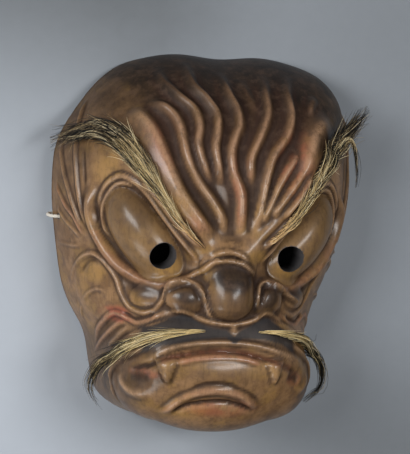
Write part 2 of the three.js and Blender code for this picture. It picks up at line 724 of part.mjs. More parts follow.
// Delaunay triangles of the flat points, started as a fan from the centre to the edge
function triangulate(points, rimCount) {
  const triangle = (...corners) => {
    const [[ax, ay], [bx, by], [cx, cy]] = corners.map((i) => points[i]);
    const d = 2 * (ax * (by - cy) + bx * (cy - ay) + cx * (ay - by));
    const [a2, b2, c2] = [ax * ax + ay * ay, bx * bx + by * by, cx * cx + cy * cy];
    const x = (a2 * (by - cy) + b2 * (cy - ay) + c2 * (ay - by)) / d;
    const y = (a2 * (cx - bx) + b2 * (ax - cx) + c2 * (bx - ax)) / d;
    return { corners, x, y, reach: (ax - x) ** 2 + (ay - y) ** 2 };
  };
  let triangles = [];
  for (let i = 0; i < rimCount; i += 1) {
    triangles.push(triangle(0, 1 + i, 1 + ((i + 1) % rimCount)));
  }
  for (let k = rimCount + 1; k < points.length; k += 1) {
    const [x, y] = points[k];
    const kept = [];
    const edges = new Map();
    for (const old of triangles) {
      if ((x - old.x) ** 2 + (y - old.y) ** 2 >= old.reach) {
        kept.push(old);
        continue;
      }
      old.corners.forEach((from, i) => {
        const to = old.corners[(i + 1) % 3];
        if (!edges.delete(`${to} ${from}`)) edges.set(`${from} ${to}`, [from, to]);
      });
    }
    for (const [from, to] of edges.values()) kept.push(triangle(from, to, k));
    triangles = kept;
  }
  return triangles.flatMap(({ corners }) => corners);
}

// Band between the two edges, stepping along whichever is behind
function rimFaces(outerCount, innerCount, offset) {
  const faces = [];
  let i = 0;
  let j = 0;
  while (i < outerCount || j < innerCount) {
    const a = 1 + (i % outerCount);
    const b = offset + 1 + (j % innerCount);
    const outerNext = j >= innerCount || (i + 1) * innerCount <= (j + 1) * outerCount;
    if (i < outerCount && outerNext) {
      i += 1;
      faces.push(a, b, 1 + (i % outerCount));
    } else {
      j += 1;
      faces.push(a, b, offset + 1 + (j % innerCount));
    }
  }
  return faces;
}

// The hollow's surface and the face's, with its layout, forms and normals
const lines = carvedLines();
const fangPlanes = fangs.map(({ x, y, turn }) => touchPlane(x, y, turn));
const faceFlat = scatter(marks(lines, fangPlanes), RIM_POINTS, OPEN_STEP);
const faceTriangles = triangulate(faceFlat, RIM_POINTS);
const plain = faceFlat.map((flat) => fromFlat(flat, 0, 0));
const plainNormals = plain.map(domeNormal);
const formed = plain.map((p, i) => p.addScaledVector(plainNormals[i], relief(p, plainNormals[i])));
// The lines stand half upright on the dome and half on the forms, so that steep flanks stay clean
const formedNormals = vertexNormals(formed, faceTriangles)
  .map((normal, i) => normal.add(plainNormals[i]).normalize());
const hollowFlat = scatter([], HOLLOW_RIM_POINTS, HOLLOW_STEP);
const hollow = hollowFlat.map((flat) => fromFlat(flat, WALL, ROOF));
const hollowTriangles = triangulate(hollowFlat, HOLLOW_RIM_POINTS);

function geometryOf(points, faces) {
  const geometry = new THREE.BufferGeometry().setFromPoints(points);
  geometry.setIndex(faces);
  return geometry;
}

function vertexNormals(points, faces) {
  const geometry = geometryOf(points, faces);
  geometry.computeVertexNormals();
  const normal = geometry.getAttribute("normal");
  return points.map((_, i) => new THREE.Vector3().fromBufferAttribute(normal, i));
}

function toSolid(geometry) {
  const bare = geometry.clone();
  bare.deleteAttribute("normal");
  bare.deleteAttribute("uv");
  const merged = mergeVertices(bare, 1e-4);
  return new wasm.Manifold(
    new wasm.Mesh({
      numProp: 3,
      vertProperties: new Float32Array(merged.getAttribute("position").array),
      triVerts: new Uint32Array(merged.index.array),
    }),
  );
}

function fromSolid(solid) {
  const { vertProperties, triVerts } = solid.getMesh();
  const geometry = new THREE.BufferGeometry();
  geometry.setAttribute("position", new THREE.BufferAttribute(vertProperties, 3));
  geometry.setIndex(new THREE.BufferAttribute(triVerts, 1));
  geometry.computeVertexNormals();
  return geometry;
}

// The carved front with its lines and fangs, moved out by lift
function carvedFace(lift) {
  return formed.map((p, i) => {
    const normal = formedNormals[i];
    const carved = p.clone().addScaledVector(normal, fineRelief(p, normal) + lift);
    const onRim = i > 0 && i <= RIM_POINTS;
    return onRim ? carved.setZ(fromFlat(faceFlat[i], 0, 0).z) : carved;
  });
}

// The hollow carving, or the same one with its front moved out
function shell(lift) {
  const face = carvedFace(lift);
  const inside = hollowTriangles.map((i) => i + face.length).reverse();
  const band = rimFaces(RIM_POINTS, HOLLOW_RIM_POINTS, face.length);
  return toSolid(geometryOf([...face, ...hollow], [...faceTriangles, ...inside, ...band]));
}

// The mask with its eye holes and the two cord holes by the rim
function maskGeometry() {
  let solid = shell(0);
  for (const side of [-1, 1]) {
    const { radius, sides } = EYE_HOLE;
    const eyeHole = new THREE.CylinderGeometry(radius, radius, 3 * CROWN, sides).rotateX(Math.PI / 2);
    eyeHole.translate(side * EYE_HOLE.x + EYE_HOLE.shift, EYE_HOLE.y, 2 * CROWN);
    const thread = CORD_HOLE;
    const cordHole = new THREE.CylinderGeometry(thread.radius, thread.radius, 6 * WALL, thread.sides);
    cordHole.rotateZ(Math.PI / 2).translate(side * thread.x, thread.y, thread.z);
    solid = solid.subtract(toSolid(eyeHole)).subtract(toSolid(cordHole));
  }
  return fromSolid(solid);
}

// A tuft: flat oval sections along its path, bedded on the carving but just clear of it
function tuftGeometry({ lying, free }, bed) {
  const rows = lying.map(([x, y, up, wide, thick]) => {
    const p = surfaceAt([x, y]);
    const normal = domeNormal(domePoint(x, y));
    return { p: p.addScaledVector(normal, up), normal, wide, thick };
  });
  const lastNormal = rows.at(-1).normal;
  for (const [x, y, z, wide, thick] of free) {
    rows.push({ p: new THREE.Vector3(x, y, z), normal: lastNormal, wide, thick });
  }
  const path = catmullRom(rows.map((row) => row.p));
  const points = [];
  for (let i = 0; i <= TUFT_STEPS; i += 1) {
    const t = i / TUFT_STEPS;
    const place = t * (rows.length - 1);
    const low = rows[Math.min(rows.length - 2, Math.floor(place))];
    const high = rows[Math.min(rows.length - 1, Math.floor(place) + 1)];
    const share = place - Math.min(rows.length - 2, Math.floor(place));
    const normal = low.normal.clone().lerp(high.normal, share);
    const across = path.getTangent(t).cross(normal).normalize();
    const over = across.clone().cross(path.getTangent(t)).normalize();
    const wide = THREE.MathUtils.lerp(low.wide, high.wide, share);
    const thick = THREE.MathUtils.lerp(low.thick, high.thick, share);
    for (let k = 0; k < TUFT_SIDES; k += 1) {
      const angle = (2 * Math.PI * k) / TUFT_SIDES;
      const p = path.getPoint(t);
      p.addScaledVector(across, wide * Math.cos(angle));
      points.push(p.addScaledVector(over, thick * Math.sin(angle)));
    }
  }
  const faces = [];
  for (let i = 0; i < TUFT_STEPS; i += 1) {
    for (let k = 0; k < TUFT_SIDES; k += 1) {
      const a = i * TUFT_SIDES + k;
      const b = i * TUFT_SIDES + ((k + 1) % TUFT_SIDES);
      faces.push(a, b + TUFT_SIDES, b, a, a + TUFT_SIDES, b + TUFT_SIDES);
    }
  }
  const lastRing = TUFT_STEPS * TUFT_SIDES;
  for (let k = 1; k < TUFT_SIDES - 1; k += 1) {
    faces.push(0, k, k + 1, lastRing, lastRing + k + 1, lastRing + k);
  }
  const bodies = toSolid(geometryOf(points, faces)).subtract(bed).decompose();
  bodies.sort((p, q) => q.volume() - p.volume());
  return fromSolid(bodies[0]);
}

// The white cord: one round strand, tied off in a small knot inside the mask
function cordGeometry() {
  const path = catmullRom(cordPath.map(([x, y, z]) => new THREE.Vector3(x, y, z)));
  const section = new THREE.Shape(
    Array.from({ length: CORD_SIDES }, (_, i) => {
      const angle = (2 * Math.PI * i) / CORD_SIDES;
      return new THREE.Vector2(Math.cos(angle), Math.sin(angle)).multiplyScalar(CORD_RADIUS);
    }),
  );
  const strand = new THREE.ExtrudeGeometry(section, { steps: CORD_STEPS, extrudePath: path });
  const knot = new THREE.SphereGeometry(KNOT_RADIUS, KNOT_SIDES.around, KNOT_SIDES.rings);
  const [[x, y], [, , z]] = [cordPath[0], cordPath.at(-1)];
  knot.translate(x, y, z + KNOT_LIFT);
  return fromSolid(toSolid(strand).add(toSolid(knot)));
}

function named(name, geometry, material) {
  const mesh = new THREE.Mesh(geometry, material);
  mesh.name = name;
  return mesh;
}

const mask = new THREE.Group();
mask.add(named("mask_body", maskGeometry(), lacqueredWood));
const bed = shell(BED_GAP);
for (const [name, tuft] of Object.entries(tufts)) {
  mask.add(named(name, tuftGeometry(tuft, bed), name.startsWith("eyebrow") ? browHair : lipHair));
}
mask.add(named("tie_cord_left", cordGeometry(), whiteCord));

// The origin is in the middle of the whole, level with the lowest part of the rim
const box = new THREE.Box3().setFromObject(mask);
const middle = box.getCenter(new THREE.Vector3());
mask.position.set(-middle.x, -middle.y, -box.min.z);

export default mask;
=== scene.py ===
from math import cos, pi, radians, sin

import bpy
import numpy as np
from mathutils import Matrix, Vector, kdtree


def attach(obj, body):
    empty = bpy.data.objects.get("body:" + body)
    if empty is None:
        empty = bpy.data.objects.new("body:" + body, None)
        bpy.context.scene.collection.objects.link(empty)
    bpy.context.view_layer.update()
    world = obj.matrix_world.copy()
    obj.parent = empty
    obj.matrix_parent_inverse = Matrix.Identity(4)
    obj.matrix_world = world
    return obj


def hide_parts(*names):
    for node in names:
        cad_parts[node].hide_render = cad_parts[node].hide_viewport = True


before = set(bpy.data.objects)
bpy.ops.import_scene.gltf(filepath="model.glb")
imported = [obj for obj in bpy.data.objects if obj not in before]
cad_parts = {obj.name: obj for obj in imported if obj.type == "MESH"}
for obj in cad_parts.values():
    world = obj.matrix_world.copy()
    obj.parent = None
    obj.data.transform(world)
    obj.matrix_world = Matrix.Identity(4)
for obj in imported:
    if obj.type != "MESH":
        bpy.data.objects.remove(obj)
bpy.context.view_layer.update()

# Everything below is worked out in millimetres: x to the viewer's right, y to the forehead, z out of
# the face. The shift puts it where the solids are, and toMetres is used once on every finished shape.
shift = np.array([1.27, 0.501, 0.0])


def toMetres(points):
    return (np.asarray(points, float) + shift) / 1000


# Camera, floor and light

lookOut = dict(turned=16.0, raised=8.0, rolled=4.0, distance=1300.0, pixelsPerMm=1.79, frameHeight=454,
               aim=(-7.65, 11.55, 50.0), sensor=36)


def makeCamera():
    turned, raised, rolled = (radians(lookOut[k]) for k in ("turned", "raised", "rolled"))
    back = Vector((-sin(turned) * cos(raised), sin(raised), cos(turned) * cos(raised)))
    right = Vector((cos(turned), 0, sin(turned)))
    up = back.cross(right)
    right, up = right * cos(rolled) + up * sin(rolled), up * cos(rolled) - right * sin(rolled)
    place = Vector(toMetres(lookOut["aim"])) + back * lookOut["distance"] / 1000
    camera = bpy.data.objects.new("camera", bpy.data.cameras.new("camera"))
    camera.matrix_world = Matrix.Translation(place) @ Matrix((right, up, back)).transposed().to_4x4()
    camera.data.sensor_width = lookOut["sensor"]
    camera.data.lens = lookOut["sensor"] * lookOut["pixelsPerMm"] * lookOut["distance"] / lookOut["frameHeight"]
    bpy.context.scene.collection.objects.link(camera)
    bpy.context.scene.camera = camera


lamps = dict(
    left=dict(place=(-0.85, 0.25, 0.8), size=(0.4, 0.7), power=12),
    right=dict(place=(0.45, 0.25, 1.15), size=(0.22, 0.6), power=8),
    low=dict(place=(-0.9, -0.9, 0.7), size=(0.5, 0.5), power=5),
)
room = dict(lampsAimAt=(0, 0, 0.05), tint=(0.9, 0.9, 0.88, 1), glow=0.06)


def makeLights():
    for name, lamp in lamps.items():
        light = bpy.data.lights.new(name + "Light", "AREA")
        light.shape = "RECTANGLE"
        light.size, light.size_y = lamp["size"]
        light.energy = lamp["power"]
        stand = bpy.data.objects.new(name + "Light", light)
        stand.location = lamp["place"]
        aim = Vector(room["lampsAimAt"]) - stand.location
        stand.rotation_euler = aim.to_track_quat("-Z", "Y").to_euler()
        bpy.context.scene.collection.objects.link(stand)
    world = bpy.data.worlds.new("softRoom")
    world.use_nodes = True
    air = world.node_tree.nodes["Background"]
    air.inputs["Color"].default_value = room["tint"]
    air.inputs["Strength"].default_value = room["glow"]
    bpy.context.scene.world = world
    bpy.context.scene.view_settings.view_transform = "Standard"


makeCamera()
makeLights()
print("camera and light: done")


# Shader maths

class Wire:  # a node's output that takes part in sums
    def __init__(self, paint, socket):
        self.paint, self.socket = paint, socket

    def sum(self, operation, first, second):
        return self.paint.node("ShaderNodeMath", dict(operation=operation), {0: first, 1: second})

    def __add__(self, other):
        return self.sum("ADD", self, other)

    def __sub__(self, other):
        return self.sum("SUBTRACT", self, other)

    def __mul__(self, other):
        return self.sum("MULTIPLY", self, other)

    def __rsub__(self, other):
        return self.sum("SUBTRACT", other, self)

    __radd__ = __add__
    __rmul__ = __mul__


class Paint:  # one material and its nodes
    def __init__(self, name, **fixed):
        self.material = bpy.data.materials.new(name)
        self.material.use_nodes = True
        self.tree = self.material.node_tree
        self.shader = self.tree.nodes["Principled BSDF"]
        self.where = self.node("ShaderNodeTexCoord", {}, {}, "Object")
        for socket, value in fixed.items():
            self.shader.inputs[socket].default_value = value

    def node(self, kind, settings, values, output=0):
        made = self.tree.nodes.new(kind)
        for key, value in settings.items():
            setattr(made, key, value)
        for key, value in values.items():
            if isinstance(value, Wire):
                self.tree.links.new(value.socket, made.inputs[key])
            elif isinstance(value, tuple) and len(value) == 3 and made.inputs[key].type == "RGBA":
                made.inputs[key].default_value = (*value, 1)
            else:
                made.inputs[key].default_value = value
        return Wire(self, made.outputs[output])

    def mask(self, name):  # a number kept on the mesh
        return self.node("ShaderNodeAttribute", dict(attribute_name=name), {}, "Fac")

    def noise(self, perMm, detail=3, rough=0.55, stretch=(1, 1, 1)):
        at = self.node("ShaderNodeMapping", {}, {"Vector": self.where, "Scale": stretch})
        values = {"Vector": at, "Scale": 1000 * perMm, "Detail": detail, "Roughness": rough}
        return self.node("ShaderNodeTexNoise", {}, values, "Fac")

    def band(self, value, low, high):  # 0 below low, 1 above high
        return self.node("ShaderNodeMapRange", dict(interpolation_type="SMOOTHSTEP"),
                         {"Value": value, "From Min": low, "From Max": high})

    def blend(self, share, first, second):
        return self.node("ShaderNodeMix", dict(data_type="RGBA", clamp_factor=True),
                         {0: share, 6: first, 7: second}, 2)

    def feed(self, **wires):
        for socket, wire in wires.items():
            self.tree.links.new(wire.socket, self.shader.inputs[socket.replace("_", " ")])

    def bump(self, height, distance, strength=1.0):
        made = self.node("ShaderNodeBump", {},
                         {"Height": height, "Distance": distance / 1000, "Strength": strength})
        self.feed(Normal=made)


def addMasks(mesh, masks):
    for name, values in masks.items():
        layer = mesh.attributes.new(name, "FLOAT", "POINT")
        layer.data.foreach_set("value", np.asarray(values, np.float32))


def smoothStep(t):
    t = np.clip(t, 0, 1)
    return t * t * (3 - 2 * t)


def ramp(value, start, span):  # 0 at the start and 1 a span further on. A negative span goes downward.
    return smoothStep((value - start) / span)


def hump(value, middle, reach):  # 1 at the middle, dying away over the reach
    return np.exp(-((value - middle) / reach) ** 2)


# The board's colour runs from the dark to the pale tint as painted light and shade
board = dict(dark=(0.125, 0.137, 0.148), pale=(0.44, 0.48, 0.535), reach=[0.8, 1.5, 3], middle=0.5,
             steps=41)
paintedFloorLightParts = dict(base=0.2, left=0.14, footLeft=0.62, topLeft=-0.54, right=0.24, footRight=-0.2,
                  leftRamp=(0.14, -0.3), lowRamp=(0.26, -0.42), cornerUp=(0.02, 0.14), cornerLeft=(0.05, -0.1),
                  rightReach=0.07, footRamp=(-0.06, -0.1))


def paintedFloorLight(x, y):  # how pale the board is at a place in metres, as painted light and shade: palest at its lower left
    part = paintedFloorLightParts
    left, low, foot = ramp(x, *part["leftRamp"]), ramp(y, *part["lowRamp"]), ramp(y, *part["footRamp"])
    corner = ramp(y, *part["cornerUp"]) * ramp(x, *part["cornerLeft"])
    right = part["right"] * hump(y, 0, part["rightReach"]) + part["footRight"] * foot
    return (part["base"] + part["footLeft"] * left * low + part["left"] * left + part["topLeft"] * corner
            + right * (1 - left))


def makeFloor():
    far = np.array(board["reach"])
    steps = np.concatenate([-far[::-1], np.linspace(-board["middle"], board["middle"], board["steps"]), far])
    x, y = (side.reshape(-1) for side in np.meshgrid(steps, steps))
    n = len(steps)
    faces = [(i, i + 1, i + 1 + n, i + n) for i in range(n * (n - 1)) if (i + 1) % n]
    mesh = bpy.data.meshes.new("floor")
    mesh.from_pydata(np.stack([x, y, 0 * x], -1).tolist(), [], faces)
    addMasks(mesh, dict(paintedFloorLight=paintedFloorLight(x, y)))
    floor = bpy.data.objects.new("floor", mesh)
    bpy.context.scene.collection.objects.link(floor)
    paint = Paint("paleBoard", Roughness=0.8)
    cloud = paint.noise(perMm=0.004, detail=2) * 0.1 + paint.noise(perMm=0.15, detail=4) * 0.05
    # the board's colour carries painted light and shade
    paint.feed(Base_Color=paint.blend(cloud + paint.mask("paintedFloorLight") * 0.9, board["dark"], board["pale"]))
    mesh.materials.append(paint.material)


makeFloor()
print("floor: done")


# The carving

# "Ramp" and "Hump" keys say where along y, or along the rim, a change sets in and over how much
dome = dict(crown=75.0, chinLift=8.0, chinRamp=(-28, -45), wall=7.5, roof=9.5, rimArch=4.5,
            archRamp=(0.45, 0.4), plainRim=1.5, rimFade=8, power=2.3, foreheadPower=0.7, chinPower=4.6,
            cheekPower=-0.35, cheekHump=(-0.25, 0.3), topLean=7.0, topLeanRamp=(45, 50), chinLean=0.8,
            chinLeanRamp=(-45, -25), cheekBend=-3.2, bendHump=(-33, 18))
rimHalf = [(0, 101.5), (24, 103.3), (43, 100.4), (59, 94.6), (70.8, 84), (79, 69), (84.2, 54), (86, 38),
           (84.8, 16), (79.5, -11), (69, -38), (60.5, -56), (56, -76), (52, -91), (42, -98.5), (22, -102),
           (0, -103)]


def softMax(a, b, k):
    return 0.5 * (a + b + np.sqrt((a - b) ** 2 + k * k))


def unit(vectors):
    return vectors / np.maximum(1e-9, np.linalg.norm(vectors, axis=-1, keepdims=True))


def runAlong(path):  # the length of a path up to each of its points
    return np.concatenate([[0], np.cumsum(np.linalg.norm(np.diff(path, axis=0), axis=1))])


def catmullRom(points, per=8, closed=False):  # a smooth path through the points
    p = np.array(points, float)
    n = len(p)
    before = p[(np.arange(n) - 1) % n]
    after = p[(np.arange(n) + 1) % n]
    if not closed:
        before[0] = 2 * p[0] - p[1]
        after[-1] = 2 * p[-1] - p[-2]
    slope = (after - before) / 2
    t = (np.arange(per) / per)[:, None]
    out = []
    for i in range(n if closed else n - 1):
        j = (i + 1) % n
        out.append((2 * t ** 3 - 3 * t ** 2 + 1) * p[i] + (t ** 3 - 2 * t ** 2 + t) * slope[i]
                   + (3 * t ** 2 - 2 * t ** 3) * p[j] + (t ** 3 - t ** 2) * slope[j])
    if not closed:
        out.append(p[-1:])
    return np.concatenate(out)


rimLoop = catmullRom(rimHalf + [(-x, y) for x, y in rimHalf[-2:0:-1]], 24, True)
rimAngle = np.arctan2(rimLoop[:, 1], rimLoop[:, 0])
rimOrder = np.argsort(rimAngle)
rimAngle, rimReach = rimAngle[rimOrder], np.hypot(rimLoop[:, 0], rimLoop[:, 1])[rimOrder]


def rimRadius(angle):
    return np.interp(angle, rimAngle, rimReach, period=2 * pi)


def cheekBend(y):  # the cheeks are pushed a little to the left
    return dome["cheekBend"] * hump(y, *dome["bendHump"])


def lean(y):  # the whole head leans a little to the right at the top
    top, chin = ramp(y, *dome["topLeanRamp"]), ramp(y, *dome["chinLeanRamp"])
    return dome["topLean"] * top + dome["chinLean"] * chin + cheekBend(y)


def profilePower(angle):  # how square the section is: full at the chin, rounder at the cheeks
    s = np.sin(angle)
    ends = dome["foreheadPower"] * np.maximum(0, s) ** 2 + dome["chinPower"] * np.maximum(0, -s) ** 3
    return dome["power"] + ends + dome["cheekPower"] * hump(s, *dome["cheekHump"])


def crownAt(y):
    return dome["crown"] + dome["chinLift"] * ramp(y, *dome["chinRamp"])


def rimShare(x, y):
    dx = x - lean(y)
    return np.hypot(dx, y) / rimRadius(np.arctan2(y, dx))


def domeHeight(x, y):
    share = rimShare(x, y) ** profilePower(np.arctan2(y, x))
    return crownAt(y) * np.sqrt(np.maximum(0, 1 - share))


def domeField(x, y, z):
    return (z / crownAt(y)) ** 2 + rimShare(x, y) ** profilePower(np.arctan2(y, x))


def domeNormal(x, y, z, step=0.4):
    gx = (domeField(x + step, y, z) - domeField(x - step, y, z)) / (2 * step)
    gy = (domeField(x, y + step, z) - domeField(x, y - step, z)) / (2 * step)
    return unit(np.stack([gx, gy, 2 * z / crownAt(y) ** 2], -1))


def local(places, x, y, turn):  # coordinates in the plane that touches the dome at x, y
    z = domeHeight(x, y)
    n = domeNormal(x, y, z)
    across = np.array([cos(radians(turn)), sin(radians(turn)), 0.0])
    across = unit(across - n * (across @ n))
    up = np.cross(n, across)
    d = places - np.array([x, y, z])
    return d @ across, d @ up


def oval(u, v, a, b, power):
    return (np.abs(u / a) ** power + np.abs(v / b) ** power) ** (1 / power)


def bulge(places, form, side=1):
    u, v = local(places, side * form["x"] + form.get("shift", 0), form["y"], side * form.get("turn", 0))
    q = oval(u, v, form["a"], form["b"], form.get("power", 2))
    foot = form.get("foot", 0)
    tip = 1 - form.get("tip", 0) * v / form["b"]
    crown = foot + (form["top"] - foot) * np.sqrt(np.maximum(0, 1 - q * q)) * tip
    return np.where(q < 1, crown, foot - (q - 1) * form.get("fall", 1.0) * min(form["a"], form["b"]))


def addForm(h, places, form):  # a round form, and its copy where both halves have it, laid over the height h
    for side in ((-1, 1) if form.get("both") else (1,)):
        h = softMax(h, bulge(places, form, side), form["blend"])
    return h


# Round forms over the dome: centre, half sizes a and b, height, depth of the foot, slope beyond it.
# "both" repeats one on the other half, and shift moves the pair to one side.
forms = dict(
    muzzle=dict(x=-2, y=-64, a=51, b=31, top=7.5, power=2.4, fall=0.6, blend=5),
    jowl=dict(x=40, shift=1, y=-80, a=21, b=17, top=7.5, foot=2, fall=0.8, blend=4, both=True),
    chin=dict(x=-1, y=-88, a=32, b=16, top=11, foot=4, power=2.2, blend=3),
    cheek=dict(x=62, shift=-2, y=-22, turn=10, a=18, b=21, top=2, foot=-0.8, blend=2.5, both=True),
)
browRidge = dict(at=[(9, 2), (22, 15), (34, 29), (45, 44), (54, 57), (62, 68)], high=5.5, wide=9.5,
                 fade=(1.15, -0.5))
eye = dict(x=45.6, shift=-0.6, y=8.2, turn=45, a=30, b=12.6, bOuter=17.2, power=2.3, top=9.2, foot=-4.2,
           slope=22, blend=0.6)
socket = dict(flatten=0.8, sink=1.5, start=0.95, soft=0.07)
pouch = dict(x=41, shift=-0.5, y=-24.6, turn=-5, a=10, b=6, top=3.4, foot=-0.5, blend=4)
noseForms = dict(
    bridge=dict(x=-1, y=-5, a=15, b=13, top=7.5, foot=2, power=2.2, blend=3),
    noseRoot=dict(x=-0.5, y=-26, a=31, b=12, top=6.5, foot=1, power=2.6, fall=0.8, blend=3),
    wing=dict(x=22, shift=-1.6, y=-24.4, turn=14, a=9.8, b=9, top=9.6, foot=3, power=2.1, blend=2, both=True),
    noseTop=dict(x=-1, y=-12, a=14, b=11.5, top=9.5, foot=2, power=2.4, fall=1.2, blend=2),
    bulb=dict(x=0.4, y=-21, a=13.2, b=15.6, top=16.2, foot=4, power=2.3, fall=1.2, tip=0.2, blend=3.5),
    lowerLip=dict(x=-4.5, y=-63.5, a=35, b=11.5, top=11.5, foot=3, power=2.2, blend=2.5),
)


def lineField(places, normals, line):  # each place's distance to a line, its share of the length and its side
    seg, run = np.diff(line, axis=0), runAlong(line)
    length = np.diff(run)
    best = np.full(len(places), 1e9)
    share = np.zeros(len(places))
    side = np.zeros(len(places))
    for i, s in enumerate(seg):
        d = places - line[i]
        t = np.clip(d @ s / length[i] ** 2, 0, 1)
        e = d - t[:, None] * s
        dist = np.sqrt(np.einsum("ij,ij->i", e, e))
        near = dist < best
        best = np.where(near, dist, best)
        share = np.where(near, (run[i] + t * length[i]) / run[-1], share)
        side = np.where(near, np.einsum("ij,ij->i", np.cross(s, e), normals), side)
    return best, share, side


def relief(places):  # height of the round forms over the dome, the dome's normals and the gap to the eyeballs
    normals = domeNormal(places[:, 0], places[:, 1], places[:, 2])
    h = np.zeros(len(places))
    for s in (-1, 1):
        line = catmullRom([(s * x, y) for x, y in browRidge["at"]])
        line = np.column_stack([line, domeHeight(line[:, 0], line[:, 1])])
        d, share, _ = lineField(places, normals, line)
        h = h + browRidge["high"] * hump(d, 0, browRidge["wide"]) * ramp(share, *browRidge["fade"])
    for form in forms.values():
        h = addForm(h, places, form)
    eyeGap = np.full(len(places), 99.0)
    for s in (-1, 1):
        u, v = local(places, s * eye["x"] + eye["shift"], eye["y"], 90 - s * eye["turn"])
        q = oval(u, v, eye["a"], np.where(v * s > 0, eye["b"], eye["bOuter"]), eye["power"])
        eyeGap = np.minimum(eyeGap, np.hypot(u, v) * (1 - 1 / np.maximum(q, 0.05)))
        dent = np.exp(-np.maximum(0, q - socket["start"]) ** 2 / socket["soft"])
        h = h * (1 - socket["flatten"] * dent) - socket["sink"] * dent
        ball = np.where(q < 1, eye["foot"] + (eye["top"] - eye["foot"]) * np.sqrt(np.maximum(0, 1 - q * q)),
                        eye["foot"] - (q - 1) * eye["slope"])
        h = softMax(h, ball, eye["blend"])
        h = softMax(h, bulge(places, pouch, s), pouch["blend"])
    for form in noseForms.values():
        h = addForm(h, places, form)
    return h, normals, eyeGap


def surfaceAt(points):
    xy = np.array(points, float)
    places = np.column_stack([xy, domeHeight(xy[:, 0], xy[:, 1])])
    h, normals, _ = relief(places)
    return places + normals * h[:, None]


plainLine = dict(ends=0.14, narrow=0, edge=2, flip=1, mirror=1)


def stroke(wide, high, *at, **more):  # a ridge (high over 0) or a cut (under 0) through points of the dome
    return {**plainLine, "wide": wide, "far": wide, "high": high, "at": at, **more}


# Forehead ridges: "far" is the width on the far side, "narrow" the share of width lost on the way,
# "ends" and "rise" the shares of the length over which the height fades at both ends or at the start
foreheadRidges = [
    stroke(3.6, 5.8, (-53, 76), (-46, 69), (-41, 60.5), (-35.5, 47), (-29, 33.5), (-20, 21), (-11, 10),
        far=7.5, narrow=0.3),
    stroke(3.2, 5.4, (-45, 80), (-35, 76), (-29.5, 68.5), (-26, 52), (-20, 39.5), (-12, 29), (-6, 19),
        (-4.5, 11), narrow=0.2),
    stroke(3.1, 5.2, (-34, 98), (-34.5, 90), (-28, 83), (-20.5, 76.5), (-18.5, 68), (-20, 59), (-16.5, 47),
        (-12, 37.5), narrow=0.2, rise=0.35),
    stroke(3.1, 5.2, (-18, 101), (-19.5, 90), (-13, 82), (-8.5, 74.5), (-9, 66), (-10.5, 58), (-9, 48),
        (-6, 37.5), narrow=0.2, rise=0.35),
    stroke(3.1, 5.2, (0, 97), (0, 86), (3.6, 77.5), (4.2, 69.7), (0.6, 62.5), (-1.6, 55), (-0.6, 45.3),
        (4, 33.5), (4.6, 18), (3.6, 9), rise=0.25),
    stroke(2.6, 1.2, (10, 94), (12.5, 84), (17, 74), ends=0.4),
    stroke(2.9, 4.6, (25, 97), (22.3, 86), (21.3, 76), (16, 65), (10.2, 54), (9.4, 46), (10.4, 37.5),
        narrow=0.15, rise=0.35),
    stroke(3, 5, (41, 97), (35, 87), (34.8, 75), (31, 65), (22.6, 54.5), (18.8, 43.5), (16.6, 32), (14, 21),
        (10, 12), narrow=0.2, rise=0.3),
    stroke(2.6, 2.6, (54, 86), (49, 80.5), (46.5, 74), ends=0.4),
    stroke(6.5, 4.6, (61, 76), (49, 67), (44, 57.5), (39.5, 47.5), (35, 40), narrow=0.3, ends=0.3),
    stroke(2.5, 3.8, (38, 57), (32, 48.5), (25.8, 39), (20, 27), (15, 17.5), narrow=0.2),
    stroke(2.3, 3.2, (43, 52), (36.5, 42.5), (28, 31.5), (20.5, 21.5), narrow=0.2),
    stroke(2, 2.4, (43.5, 45), (37, 33), (27.5, 21.5)),
]
